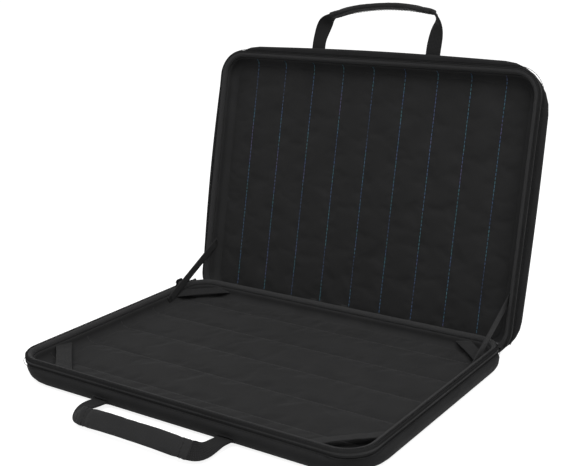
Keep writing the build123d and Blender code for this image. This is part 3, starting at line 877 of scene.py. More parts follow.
class CASE_OT_piping(bpy.types.Operator):
    """Make the fabric-covered bead round each rim"""

    bl_idname = "hard_case.piping"
    bl_label = "Rim Piping"

    def execute(self, context):
        for half in HALVES:
            bead = f"{half.name}_rim_bead"
            dress(rim_bead(half), "piping cloth", half.name, [bead])
        return {"FINISHED"}


class CASE_OT_zip(bpy.types.Operator):
    """Make the zip's tapes, coils, seams and end stops"""

    bl_idname = "hard_case.zip"
    bl_label = "Zip"

    def execute(self, context):
        for half in HALVES:
            body = half.name
            dress(zip_tape(half), "zip tape", body, [f"{body}_zip_tape"])
            dress(zip_coil(half), "zip coil", body, [f"{body}_zip_coil"])
            dress(tape_seam(half), "seam thread", body)
        dress(end_stops(), "zip metal", "base", ["zip_end_stops"])
        return {"FINISHED"}


# ---------------------------------------------------------------- linings
def lining_wall(half):
    """The lining's side wall: out from under the piping, down, and round into the floor.

    Rings of the rim's outline, each pulled in by the profile's inset at the profile's depth, with
    a slow ripple that grows down the wall.
    """
    turns = np.linspace(0, pi / 2, 8)
    under_pad = PAD_INSET + PAD_LAP
    # Inset and depth: from under the piping over the hem to the wall, its round, and the fold
    # under the pad
    profile = [(1.5 * MM, BEAD_RADIUS), (1.7 * MM, 1.7 * MM), (2.4 * MM, 1.2 * MM)]
    profile += [(2.9 * MM, 1.4 * MM), (LINING_INNER - 0.2 * MM, 2.2 * MM), (LINING_INNER, 3.5 * MM)]
    profile += [
        (LINING_INNER + LINING_ROUND * (1 - cos(turn)),
         LINING_FLOOR - LINING_ROUND * (1 - sin(turn)))
        for turn in turns
    ]
    profile += [(under_pad, LINING_FLOOR + 0.3 * MM), (under_pad, LINING_FLOOR + 0.8 * MM)]
    profile += [(PAD_INSET, LINING_FLOOR + 0.8 * MM)]
    profile = np.array(profile)
    sway_share = np.clip((profile[:, 1] - 3 * MM) / LINING_FLOOR, 0, 1)
    rings = []
    for (inset, depth), share in zip(profile, sway_share):
        line, normals = rim_loop(-inset, WALL_STEP)
        along = run_length(line, closed=True)[:-1]
        sway = ripple(along, 11, *WALL_RIPPLE) * share
        rings.append(level(line + normals * sway[:, None], depth))
    spread = run_length(profile)
    uv = outline_uv(rim_loop(-PAD_INSET, WALL_STEP), spread[-4] - spread)
    points = half.place(np.stack(rings))
    return surface(f"{half.name}_lining_wall", points, ring=True, uv=uv, closed=False)


def divided(half_length, corner, rows, step):
    """Divisions of a side: even between its corners and its rows of stitches, and closer beside
    each row."""
    beside = [row + gap for row in rows for gap in ROW_GAPS]
    breaks = [-half_length, corner - half_length, *beside, half_length - corner, half_length]
    parts = [np.array(breaks[:1])]
    for start, end in zip(breaks[:-1], breaks[1:]):
        count = max(1, round((end - start) / step))
        parts.append(np.linspace(start, end, count + 1)[1:])
    return np.concatenate(parts)


def quilt_rows(half):
    """Places of a half's rows of stitches, to both sides of the middle."""
    pitch = getattr(sizes(), f"{half.name}_quilt_pitch")
    count = getattr(sizes(), f"{half.name}_quilt_rows")
    return (np.arange(count) - (count - 1) / 2) * pitch


def pad_grid(half):
    """The pad's flat grid, its corners drawn in to quarter circles, and its sewn points.

    In a corner square a point p, q is moved to max(p, q) * (p, q) / |(p, q)|.
    """
    half_x = RIM_X - PAD_INSET
    half_y = (RIM_FRONT - RIM_REAR) / 2 - PAD_INSET
    round_off = BEAD_CORNER - PAD_INSET
    row_x = quilt_rows(half) if half is LID else []
    row_y = quilt_rows(half) if half is BASE else []
    xs = divided(half_x, round_off, row_x, PAD_STEP)
    ys = divided(half_y, round_off, row_y, PAD_STEP)
    x, y = np.meshgrid(xs, ys, indexing="ij")
    p = np.maximum(np.abs(x) - (half_x - round_off), 0)
    q = np.maximum(np.abs(y) - (half_y - round_off), 0)
    reach = np.hypot(p, q)
    pull = np.where((p > 0) & (q > 0), np.maximum(p, q) / np.where(reach > 0, reach, 1), 1)
    x = np.sign(x) * (np.abs(x) - p * (1 - pull))
    y = np.sign(y) * (np.abs(y) - q * (1 - pull))
    sewn = np.zeros(x.shape, bool)
    sewn[np.isin(xs, row_x), :] = True
    sewn[:, np.isin(ys, row_y)] = True
    edge = np.zeros(x.shape, bool)
    edge[[0, -1], :] = True
    edge[:, [0, -1]] = True
    return x, y, sewn, edge


CLOTH = {
    "quality": 5,
    "mass": 0.2,
    "tension_stiffness": 12,
    "compression_stiffness": 12,
    "shear_stiffness": 4,
    "bending_stiffness": 0.6,
    "vertex_group_mass": "sewn",
    "shrink_min": -0.01,  # the skin is a hundredth too large
    "use_pressure": True,
}
CLOTH_FRAMES = 20


def puffed(name, points, held, most, pressure, toward=None, ring=False):
    """Cloth simulation: a skin a little too large, held at its stitches, is blown up.

    No point moves further than most. toward is the side to which an open sheet rises.
    """
    skin = surface(name, points, ring=ring)
    if toward is not None and skin.data.polygons[0].normal.dot(Vector(toward)) < 0:
        skin.data.flip_normals()
    sewn = np.concatenate([held.ravel(), np.ones(len(skin.data.vertices) - held.size, bool)])
    group = skin.vertex_groups.new(name="sewn")
    group.add(np.flatnonzero(sewn).tolist(), 1.0, "REPLACE")
    cloth = skin.modifiers.new("Cloth", "CLOTH")
    for setting, value in CLOTH.items():
        setattr(cloth.settings, setting, value)
    cloth.settings.uniform_pressure_force = pressure
    cloth.settings.effector_weights.gravity = 0
    cloth.collision_settings.use_collision = False
    cloth.point_cache.frame_start = 1
    cloth.point_cache.frame_end = CLOTH_FRAMES
    scene = bpy.context.scene
    for moment in range(1, CLOTH_FRAMES + 1):
        scene.frame_set(moment)
    shaped = skin.evaluated_get(bpy.context.evaluated_depsgraph_get())
    moved = np.empty(len(skin.data.vertices) * 3, np.float32)
    shaped.data.vertices.foreach_get("co", moved)
    moved = moved.reshape(-1, 3)[: held.size].reshape(points.shape).astype(float)
    scene.frame_set(1)
    mesh = skin.data
    bpy.data.objects.remove(skin)
    bpy.data.meshes.remove(mesh)
    shift = moved - points
    far = np.linalg.norm(shift, axis=-1, keepdims=True)
    return points + shift * np.minimum(1, most / np.maximum(far, 1e-9))


def pad(half):
    """The quilted pad: the puffed sheet above and its flat backing below, joined at the edge."""
    x, y, sewn, edge = pad_grid(half)
    flat = np.stack([x, y + (RIM_FRONT + RIM_REAR) / 2], -1)
    generator = np.random.default_rng(5 if half is BASE else 6)
    needle = generator.normal(0, NEEDLE_SPREAD, x.shape)
    depth = np.where(
        sewn & ~edge, LINING_FLOOR + STITCH_SINK + np.abs(needle), LINING_FLOOR + needle * 0.4
    )
    top = half.place(np.concatenate([flat, depth[..., None]], -1))
    blown = puffed(
        f"{half.name}_puff", top, sewn | edge, sizes().puff, PAD_PRESSURE, toward=-half.axes[2]
    )
    depth = np.full(x.shape, LINING_FLOOR + PAD_THICKNESS)
    backing = half.place(np.concatenate([flat, depth[..., None]], -1))
    front = np.arange(x.size).reshape(x.shape)
    border = np.concatenate([front[0], front[1:, -1], front[-1, -2::-1], front[-2:0:-1, 0]])
    after = np.roll(border, -1)
    side = np.stack([border, after, after + x.size, border + x.size], 1)
    sheets = [grid_corners(index).reshape(-1, 4) for index in (front, front + x.size)]
    faces = np.concatenate([*sheets, side])
    vertices = np.concatenate([blown.reshape(-1, 3), backing.reshape(-1, 3)])
    uv = np.tile(flat.reshape(-1, 2), (2, 1))[faces.ravel()]
    return subdivided(finished(f"{half.name}_pad", vertices, faces.tolist(), uv))


def stitch_run(half_length):
    """A row of stitches in section: the distance from the middle and the depth, along the floor
    and at both ends up the quarter circle of the lining's wall, with the way off the fabric."""
    flat_count = 60
    swing = np.linspace(pi / 2, 0.1, 9)
    rise = LINING_ROUND - 0.05 * MM
    place = half_length - LINING_INNER - LINING_ROUND + rise * np.cos(swing)
    depth = LINING_FLOOR - LINING_ROUND + rise * np.sin(swing)
    flat = np.linspace(place[0] - 2 * MM, 2 * MM - place[0], flat_count)
    sunk = np.full(flat_count, LINING_FLOOR + THREAD_SINK)
    off = np.stack([-np.cos(swing), -np.sin(swing)], 1)
    run = np.concatenate([place[::-1], flat, -place])
    depths = np.concatenate([depth[::-1], sunk, depth])
    away = np.concatenate([off[::-1], same((0, -1), flat_count), off * [-1, 1]])
    return run, depths, away


def quilting(half):
    """The quilting threads: one row of stitches along each sewn line, from wall to wall."""
    middle = (RIM_FRONT + RIM_REAR) / 2
    places = quilt_rows(half)
    if half is LID:
        run, depth, away = stitch_run((RIM_FRONT - RIM_REAR) / 2)
        run = run + middle
        order = (1, 0, 2)
    else:
        run, depth, away = stitch_run(RIM_X)
        places = places + middle
        order = (0, 1, 2)
    up = np.stack([away[:, 0], np.zeros(len(run)), away[:, 1]], 1)[:, order] @ half.axes
    rows = []
    for number, place in enumerate(places):
        line = half.place(np.stack([run, np.full(len(run), place), depth], 1)[:, order])
        name = f"{half.name}_thread_{number}"
        rows.append(stitched(name, line, up, sizes().stitch, sizes().thread / 2, 0.6))
    return joined(f"{half.name}_quilting", rows)


class CASE_OT_linings(bpy.types.Operator):
    """Make the lining walls, the quilted pads and their threads"""

    bl_idname = "hard_case.linings"
    bl_label = "Quilted Linings"

    def execute(self, context):
        for half in HALVES:
            body = half.name
            dress(lining_wall(half), "lining wall", body)
            cushion = pad(half)
            dress(cushion, "brushed lining", body, [f"{body}_lining"])
            thread = "lid thread" if half is LID else "base thread"
            dress(quilting(half), thread, body, [f"{body}_quilt_thread"])
        return {"FINISHED"}


# ---------------------------------------------------------------- carrying handles
# Each handle at rest: how far the grip's ends lie from the fold, how far the grip bows out, the
# lean of the legs above the rim, the grip's further lean, the grip's tilt to one side in its own
# plane, and how far the webbing of each leg turns on edge
HANDLE_SHAPES = {
    "base": {
        "reach": 30.8 * MM, "crown": 3 * MM, "tilt": radians(7.5), "turn": radians(34.1),
        "roll": 0.0, "twist": radians(-90),
    },
    "lid": {
        "reach": 34.5 * MM, "crown": 6 * MM, "tilt": 0.0, "turn": 0.0,
        "roll": radians(3.5), "twist": radians(90),
    },
}
WEBBING_WIDTH = 13.5 * MM
WEBBING_THICKNESS = 1.8 * MM
WEBBING_STEP = 1.1 * MM  # between the points along it
SMOOTH_REACH = 4  # the neighbours to each side that smooth a point of it
GRIP_HALF = 50 * MM
LEG_SPREAD = 7.4 * MM  # from the grip's end to the corner that its leg rounds
LEG_OFFSET = GRIP_HALF + LEG_SPREAD  # from the handle's middle to a leg's sewn end
LEG_STRAIGHT = 8 * MM  # beyond the fold
GRIP_WIDTH = 14.6 * MM
GRIP_THICKNESS = 5.4 * MM
ROOT = 5 * MM  # inside the fold, under the wall's fabric
GRIP_SLACK = 0.3 * MM  # by which the sleeve is blown up
GRIP_PUFF = 0.9 * MM
GRIP_PRESSURE = 3.0
GRIP_RINGS = 84
GRIP_SIDES = 36
GRIP_SEAM = GRIP_SIDES // 4 * 3  # the column of the sleeve's closing seam
HEM_SHARE = 0.055  # of the sleeve's length
PATCH_MARGIN = 1.4 * MM  # beyond the webbing's edge
PATCH_HALF_HEIGHT = 3.4 * MM
PATCH_RISE = 0.75 * MM
PATCH_SINK = 0.15 * MM


def handle_axes(half, lean):
    """Along a handle, away from the case, and through its thickness, for a lean above the rim."""
    along, forward, outward = half.axes
    away = forward * cos(lean) - outward * sin(lean)
    through = outward * cos(lean) + forward * sin(lean)
    return np.array([along, away, through])


def fold_line(half):
    """The middle of the line at which a handle folds, midway between its two sewn ends."""
    return np.array(JOINTS[f"{half.name}_handle_fold"]["pos_m"])


def grip_frame(half):
    """The middle of the line between the grip's ends, and the ways along the grip, away from the
    case and through its flat face."""
    shape = HANDLE_SHAPES[half.name]
    along, away, _ = handle_axes(half, shape["tilt"])
    _, rise, through = handle_axes(half, shape["tilt"] + shape["turn"])
    middle = fold_line(half) * [0, 1, 1] + away * shape["reach"]
    roll = shape["roll"]
    rolled = along * cos(roll) - rise * sin(roll)
    return middle, rolled, rise * cos(roll) + along * sin(roll), through


def grip_arch(half, count):
    """The grip's centre line: the arc through both ends and the crown."""
    crown = HANDLE_SHAPES[half.name]["crown"]
    middle, along, rise, through = grip_frame(half)
    radius = (GRIP_HALF**2 + crown**2) / (2 * crown)
    swing = np.linspace(-1, 1, count) * np.arcsin(GRIP_HALF / radius)
    line = (
        middle
        + (radius * np.sin(swing))[:, None] * along
        + (crown - radius * (1 - np.cos(swing)))[:, None] * rise
    )
    return line, same(through, count)


def webbing_leg(half, side):
    """One leg, from inside the wall to the grip's end, and the way its width points.

    After a straight length it follows start (1-s)^2 + corner 2s(1-s) + end s^2, and its width
    turns on edge by the handle's twist times sin^2(90 s).
    """
    shape = HANDLE_SHAPES[half.name]
    along, away, through = handle_axes(half, shape["tilt"])
    middle, grip_along, grip_rise, grip_through = grip_frame(half)
    fold = fold_line(half) + along * side * LEG_OFFSET
    reach = np.linspace(-ROOT, LEG_STRAIGHT, 14)[:-1, None]
    straight = fold + reach * away
    start = fold + LEG_STRAIGHT * away
    lean = 2 * np.arctan(shape["crown"] / GRIP_HALF)
    end = middle + grip_along * side * GRIP_HALF
    corner = end + LEG_SPREAD * (grip_along * side * cos(lean) - grip_rise * sin(lean))
    share = np.linspace(0, 1, 33)[:, None]
    curve = start * (1 - share) ** 2 + corner * 2 * share * (1 - share) + end * share**2
    ahead = unit((corner - start) * (1 - share) + (end - corner) * share)
    normal = unit(through * (1 - share) + grip_through * share)
    edge = unit(np.cross(ahead, normal)) * side
    twist = shape["twist"] * np.sin(pi / 2 * share) ** 2
    width = edge * np.cos(twist) - np.cross(edge, ahead) * side * np.sin(twist)
    root_width = same(along * side, len(straight))
    return np.concatenate([straight, curve]), np.concatenate([root_width, width])


def smoothed(values):
    """Each value replaced by the mean of its neighbours, the ends kept."""
    count = 2 * SMOOTH_REACH + 1
    first, last = values[:1], values[-1:]
    padded = np.concatenate([first.repeat(SMOOTH_REACH, 0), values, last.repeat(SMOOTH_REACH, 0)])
    kernel = np.ones(count) / count
    soft = np.stack([np.convolve(column, kernel, "valid") for column in padded.T], 1)
    soft[0], soft[-1] = values[0], values[-1]
    return soft


def even_line(line, step, *ways):
    """A line and the ways that go with it, at even steps."""
    along = run_length(line)
    even = np.linspace(0, along[-1], ceil(along[-1] / step) + 1)
    return [sampled(values, along, even) for values in (line, *ways)]


def webbing_path(half):
    """The webbing's centre line from wall to wall, with its width and thickness ways."""
    left, left_way = webbing_leg(half, -1)
    right, right_way = webbing_leg(half, 1)
    arch, arch_way = grip_arch(half, 60)
    arch_way = arch_way * -np.sign(HANDLE_SHAPES[half.name]["twist"])
    line = np.concatenate([left, arch[1:-1], right[::-1]])
    way = np.concatenate([left_way, arch_way[1:-1], right_way[::-1]])
    line, way = even_line(line, WEBBING_STEP, way)
    line, way = smoothed(line), smoothed(way)
    ahead = unit(np.gradient(line, axis=0))
    thick = unit(np.cross(way, ahead))
    return line, unit(np.cross(ahead, thick)), thick


def webbing(half):
    """A woven strip: a rounded box carried along the path, its width a little uneven."""
    line, width, thick = webbing_path(half)
    section = ring_section(WEBBING_WIDTH / 2, WEBBING_THICKNESS / 2, 0.7, 20)
    draw = 1 + ripple(run_length(line), 21, *WEBBING_RIPPLE)
    return swept(f"{half.name}_webbing", line, width * draw[:, None], thick, section)


def hem_profile(share):
    """The sleeve's girth along its length: one, less a bell-shaped dip at each hem's stitches and
    a deeper one at each end."""
    end = np.minimum(share, 1 - share)
    swell = 1 - 0.05 * np.exp(-((end - HEM_SHARE) / 0.008) ** 2)
    return swell * (1 - 0.10 * np.exp(-(end / 0.012) ** 2))


def grip_sleeve(half):
    """The padded grip: a flat oval sleeve, blown up between its two hems and its closing seam."""
    line, through = grip_arch(half, GRIP_RINGS)
    ahead = unit(np.gradient(line, axis=0))
    rise = unit(np.cross(through, ahead))
    across = unit(np.cross(ahead, rise))
    share = np.linspace(0, 1, GRIP_RINGS)
    half_width = GRIP_WIDTH / 2 - GRIP_SLACK
    half_thick = GRIP_THICKNESS / 2 - GRIP_SLACK
    section = ring_section(half_width, half_thick, 0.55, GRIP_SIDES)
    points = carried(line, across, rise, section, hem_profile(share))
    held = np.zeros(points.shape[:2], bool)
    held[[0, 1, -2, -1]] = True
    held[np.abs(share - HEM_SHARE).argmin()] = True
    held[np.abs(share - 1 + HEM_SHARE).argmin()] = True
    held[:, GRIP_SEAM] = True
    blown = puffed(f"{half.name}_grip_puff", points, held, GRIP_PUFF, GRIP_PRESSURE, ring=True)
    piece = surface(f"{half.name}_grip", blown, ring=True, uv=section_uv(line, section))
    return subdivided(piece), blown


def grip_stitches(half, skin):
    """The stitches round both hems and along the closing seam, on the sleeve's own skin."""
    middle = skin.mean(1)
    threads = []
    for number, share in enumerate((HEM_SHARE, 1 - HEM_SHARE)):
        row = round(share * (GRIP_RINGS - 1))
        ring = np.concatenate([skin[row], skin[row, :1]])
        out = ring - middle[row]
        threads.append(seam(f"{half.name}_hem_{number}", ring + unit(out) * 0.05 * MM, out))
    run = skin[3:-3, GRIP_SEAM]
    threads.append(seam(f"{half.name}_grip_seam", run, run - middle[3:-3]))
    return joined(f"{half.name}_grip_stitches", threads)


def leg_patch(half, side):
    """The reinforcement sewn round a leg's root: a pillow laid on the wall.

    It rises by (1 - u^6)(1 - v^6) of its thickness over the wall's section, which is upright and
    then a quarter circle round the edge.
    """
    half_wide = WEBBING_WIDTH / 2 + PATCH_MARGIN
    u, v = np.meshgrid(np.linspace(-1, 1, 29), np.linspace(-1, 1, 15), indexing="ij")
    fold = half.axes @ (fold_line(half) - half.origin)
    start = RIM_HEIGHT - EDGE_ROUND
    turn = np.arcsin(np.clip((fold[2] - start) / EDGE_ROUND, 0, 1))
    run = turn * EDGE_ROUND + v * PATCH_HALF_HEIGHT
    swing = np.maximum(run, 0) / EDGE_ROUND
    rise = PATCH_RISE * (1 - u**6) * (1 - v**6) - PATCH_SINK
    x = fold[0] + side * LEG_OFFSET + u * half_wide
    crown = (LID_CROWN if half is LID else 0) * (1 - (x / CASE_X) ** 2) ** 1.5
    y = CASE_Y + crown - EDGE_ROUND * (1 - np.cos(swing)) + rise * np.cos(swing)
    depth = start + np.minimum(run, 0) + (EDGE_ROUND + rise) * np.sin(swing)
    place = half.place(np.stack([x, y, depth], -1))
    uv = np.stack([u * half_wide, v * PATCH_HALF_HEIGHT], -1)
    patch = surface(f"{half.name}_leg_patch_{side}", place, uv=uv)
    wall = patch.modifiers.new("Thickness", "SOLIDIFY")
    wall.thickness = 0.5 * MM
    wall.offset = -1
    loop = np.concatenate(
        [place[2:-2, 2], place[-3, 3:-2], place[-4:1:-1, -3], place[2, -4:2:-1], place[2:3, 2]]
    )
    off_wall = half.axes[1] * 0.9 + half.axes[2] * 0.3
    out = same(off_wall, len(loop))
    return patch, seam(f"{half.name}_patch_seam_{side}", loop + unit(out) * 0.12 * MM, out)


class CASE_OT_handles(bpy.types.Operator):
    """Make both carrying handles: webbing, padded grip, stitches and the patches at the wall"""

    bl_idname = "hard_case.handles"
    bl_label = "Carrying Handles"

    def execute(self, context):
        for half in HALVES:
            body = half.name
            handle = f"{body}_handle"
            strip = webbing(half)
            dress(strip, "handle webbing", None,
                  [f"{handle}_webbing", f"{handle}_anchors"])
            fold = fold_line(half)
            away = handle_axes(half, HANDLE_SHAPES[body]["tilt"])[1]
            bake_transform(strip)
            grip, skin = grip_sleeve(half)
            dress(grip, "grip cloth", handle, [f"{handle}_sleeve"])
            dress(grip_stitches(half, skin), "seam thread", handle)
            patches = [leg_patch(half, side) for side in (-1, 1)]
            for patch, stitches in patches:
                dress(patch, "handle webbing", body)
                dress(stitches, "seam thread", body)
        return {"FINISHED"}


# ---------------------------------------------------------------- elastics, straps, spine
# From the corner of the rim's straight lines, along its diagonal, to a band's two edges
ELASTIC_EDGES = {"front": (28.5 * MM, 41.5 * MM), "rear": (20.5 * MM, 30.5 * MM)}
ELASTIC_DEPTHS = (1.6 * MM, 4.4 * MM)  # of those edges, below the bead's centre
ELASTIC_THICKNESS = 1.2 * MM
ELASTIC_NECK = 0.07  # how far its middle draws in, as a share of its width
ELASTIC_BOW = 0.5 * MM
STRAP_WIDTH = 7.5 * MM
STRAP_THICKNESS = 1.0 * MM
STRAP_SETBACK = 46 * MM  # from the rear bead's centre line to a strap's seam
STRAP_DEPTHS = {"base": 2.4 * MM, "lid": 3.0 * MM}  # of the seams, below the bead's centre
STRAP_LAP = 6 * MM  # beyond its seams
STRAP_STEP = 1.4 * MM
TACK_ROWS = 3
TACK_PITCH = 1.1 * MM
TACK_STITCH = 1.5 * MM
TACK_THREAD = 0.2 * MM
TACK_INSET = 3 * MM  # from the strap's seam to the middle of its tack
SPINE_SEAM_OUT = 2.4 * MM  # from the base bead's centre to the spine's seam
SPINE_WRAP = BEAD_RADIUS + 0.8 * MM  # the circle round the lid's bead
SPINE_HALF_THICK = 0.45 * MM
SPINE_SLACK = 0.35 * MM
SPINE_TURN = (-70, 50)  # degrees round the lid's bead
SPINE_HALF_LENGTH = RIM_X - 3.6 * MM


def elastic(side, end_name):
    """A band across a corner, from wall to wall, necked by 7% of sin(pi t) and bowed inwards.

    Its edges lie at two depths and its ends are cut along the walls.
    """
    count = 61
    end = 1 if end_name == "front" else -1
    outer, inner = ELASTIC_EDGES[end_name]
    corner = np.array([side * RIM_X, RIM_FRONT if end > 0 else RIM_REAR, 0])
    inward = np.array([-side, -end, 0]) / np.sqrt(2)
    along = np.array([-inward[1], inward[0], 0])
    run = inner - outer
    drop = ELASTIC_DEPTHS[1] - ELASTIC_DEPTHS[0]
    slope = unit(inward * run + np.array([0, 0, drop]))
    normal = np.cross(along, slope)
    normal *= np.sign(normal[2])
    middle = corner + inward * (outer + run / 2)
    middle = middle + np.array([0, 0, sum(ELASTIC_DEPTHS) / 2]) + normal * ELASTIC_THICKNESS / 2
    reach = outer + run / 2 - (LINING_INNER - 0.4 * MM) * np.sqrt(2)
    share = np.linspace(0, 1, count)
    swell = np.sin(pi * share)
    line = (
        middle
        + ((share * 2 - 1) * reach)[:, None] * along
        - (swell * ELASTIC_BOW)[:, None] * normal
        + ripple(share * 2 * reach, 31 + end, *ELASTIC_RIPPLE)[:, None] * normal
    )
    section = ring_section(np.hypot(run, drop) / 2, ELASTIC_THICKNESS / 2, 0.6, 24)
    width = same(slope, count) * (1 - ELASTIC_NECK * swell)[:, None]
    skew = ((share * 2 - 1)[:, None] * section[0])[..., None] * along
    points = carried(line, width, same(normal, count), section) + skew
    return surface("elastic", BASE.place(points), ring=True, uv=section_uv(line, section))


def strap_ends(side):
    """Where a stay strap is sewn to the base and to the lid, and the way from base to lid."""
    x = side * (RIM_X - LINING_INNER - STRAP_THICKNESS / 2)
    foot = BASE.place([x, RIM_REAR + STRAP_SETBACK, STRAP_DEPTHS["base"]])
    head = LID.place([-x, RIM_REAR + STRAP_SETBACK, STRAP_DEPTHS["lid"]])
    return foot, head, unit(head - foot)


def stay_strap(side):
    """A narrow webbing strip against the side wall, run on past both its seams."""
    foot, head, ahead = strap_ends(side)
    ends = np.stack([foot - ahead * STRAP_LAP, head + ahead * STRAP_LAP])
    line = even_line(ends, STRAP_STEP)[0]
    thick = same((1, 0, 0), len(line))
    width = same(unit(np.cross(ahead, thick[0])), len(line))
    section = ring_section(STRAP_WIDTH / 2, STRAP_THICKNESS / 2, 0.6, 16)
    return swept("stay_strap", line, width, thick, section)


def bar_tack(name, centre, along, across, up):
    """Rows of short stitches across a strap's end."""
    count = 20
    reach = across * 0.4 * STRAP_WIDTH
    threads = []
    for row in range(TACK_ROWS):
        place = centre + along * (row - (TACK_ROWS - 1) / 2) * TACK_PITCH
        line = np.linspace(place - reach, place + reach, count)
        threads.append(
            stitched(f"{name}_{row}", line, same(up, count), TACK_STITCH, TACK_THREAD)
        )
    return joined(name, threads)


def rim_y(x, growth):
    """Where the rear bead's line, grown outwards, lies at each place along the spine."""
    across = np.maximum(0, np.abs(x) - (RIM_X - BEAD_CORNER))
    return RIM_REAR + BEAD_CORNER - np.sqrt((BEAD_CORNER + growth) ** 2 - across**2)


def spine():
    """The fabric hinge: from its seam under the base's bead straight to the lid's bead, and
    round it on a circle; its cross-section is offset half the thickness to both sides."""
    x = np.linspace(-SPINE_HALF_LENGTH, SPINE_HALF_LENGTH, 191)
    seam_y = rim_y(x, SPINE_SEAM_OUT)
    start = BASE.place(np.stack([x, seam_y, np.full_like(x, SPINE_SEAM_OUT)], -1))
    rounds = []
    for angle in np.radians(np.linspace(*SPINE_TURN, 15)):
        out, depth = SPINE_WRAP * cos(angle), SPINE_WRAP * sin(angle)
        rounds.append(LID.place(np.stack([-x, rim_y(x, out), np.full_like(x, depth)], -1)))
    shares = np.linspace(0, 1, 9)[:-1]
    flat = [start * (1 - share) + rounds[0] * share for share in shares]
    path = np.stack(flat + rounds, 1)
    slack = np.zeros(path.shape[1])
    slack[: len(shares)] = SPINE_SLACK * np.sin(pi * shares)
    tangent = np.gradient(path, axis=1)
    tangent[..., 0] = 0
    tangent = unit(tangent)
    normal = np.stack([np.zeros_like(tangent[..., 0]), -tangent[..., 2], tangent[..., 1]], -1)
    wave = np.sin(pi * np.linspace(0, 1, path.shape[1]))
    pucker = ripple(x, 41, *SPINE_RIPPLE)[:, None] * wave
    path = path + normal * (slack + pucker)[..., None]
    offset = normal * SPINE_HALF_THICK
    ring = np.concatenate([path + offset, (path - offset)[:, ::-1]], 1)
    around = run_length(ring[len(x) // 2], closed=True)
    return surface("spine", ring, ring=True, uv=grid_uv(x - x[0], around)), path, normal


class CASE_OT_bands(bpy.types.Operator):
    """Make the corner elastics and the stay straps"""

    bl_idname = "hard_case.bands"
    bl_label = "Elastics and Stay Straps"

    def execute(self, context):
        for end_name in ELASTIC_EDGES:
            for side, side_name in SIDES:
                band = elastic(side, end_name)
                band.name = f"elastic_{end_name}_{side_name}"
                node_name = f"corner_elastic_{end_name}_{side_name}"
                dress(band, "ribbed elastic", "base", [node_name])
        for side, side_name in SIDES:
            strap = stay_strap(side)
            strap.name = f"strap_{side_name}"
            dress(strap, "strap webbing", None, [f"stay_strap_{side_name}"])
            foot, head, ahead = strap_ends(side)
            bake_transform(strap)
            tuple(foot)
            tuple(head)
            inner = np.array([-side, 0.0, 0.0])
            across = unit(np.cross(ahead, inner))
            for body, place, run in (("base", foot, -ahead), ("lid", head, ahead)):
                centre = place + run * TACK_INSET + inner * (STRAP_THICKNESS / 2 + 0.05 * MM)
                tack = bar_tack(f"tack_{body}_{side_name}", centre, ahead, across, inner)
                dress(tack, "seam thread", body)
        return {"FINISHED"}


class CASE_OT_spine(bpy.types.Operator):
    """Make the fabric spine and its two rows of stitches"""

    bl_idname = "hard_case.spine"
    bl_label = "Fabric Spine"

    def execute(self, context):
        fabric, path, normal = spine()
        dress(fabric, "piping cloth", None, ["spine_fabric"])
        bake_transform(fabric)
        for body, column in (("base", 0), ("lid", -3)):
            up = normal[4:-4, column]
            thread = seam(f"spine_seam_{body}", path[4:-4, column] + up * 0.5 * MM, up)
            dress(thread, "seam thread", body)
        return {"FINISHED"}


# ---------------------------------------------------------------- slider and pull
BRIDGE = np.array(JOINTS["pull_swing"]["pos_m"])
PULL_LEAN = radians(16.235)
PULL_TURN = 28  # points round the eye
EYE_RADIUS = 1.1 * MM
EYE_HALF_SIZES = (0.28 * MM, 1.7 * MM)

# In millimetres: name, how far out and ahead of the zip's line, half sizes, squareness, points
SLIDER_BLOCKS = (
    ("inner", 0.7, 0, (0.4, 4.5, 1.9), 0.75, 24),
    ("outer", 3.7, 0, (0.42, 4.5, 3.5), 0.7, 32),
    ("wedge", 2.2, 3.1, (1.5, 1.1, 0.45), 0.7, 16),
)
SLIDER_RISE = 4.5 * MM
BRIDGE_FOOT = 4.0 * MM  # out from the zip's line
BRIDGE_HALF = 3.4 * MM
BRIDGE_RADIUS = 0.55 * MM
# In millimetres: name, how far down from the bridge, half sizes, squareness, points
PULL_BLOCKS = (
    ("neck", 2.4, (1.6, 1.4, 0.42), 0.7, 20),
    ("tab", 11.5, (2.5, 8.5, 0.58), 0.72, 32),
    *((f"ridge_{number}", 12.5 + 1.6 * number, (1.6, 0.35, 0.72), 0.5, 12) for number in range(4)),
)


def slider():
    """The slider: two rounded plates, the wedge that joins them and the bridge for the pull."""
    zip_x = -RIM_X
    parts = []
    for name, out, ahead, half_sizes, squareness, count in SLIDER_BLOCKS:
        centre = (zip_x - out * MM, BRIDGE[1] + ahead * MM, RIM_HEIGHT + SLIDER_RISE)
        size = np.array(half_sizes) * MM
        parts.append(block(f"slider_{name}", centre, np.eye(3), size, squareness, count))
    share = np.linspace(0, pi, 25)
    foot = zip_x - BRIDGE_FOOT
    line = np.stack([
        foot + (BRIDGE[0] - foot) * np.sin(share) ** 0.45,
        BRIDGE[1] - BRIDGE_HALF * np.cos(share),
        np.full(len(share), BRIDGE[2]),
    ], 1)
    parts.append(tube("slider_bridge", line, BRIDGE_RADIUS, 14, same((0, 0, 1), len(share))))
    return joined("slider", parts)


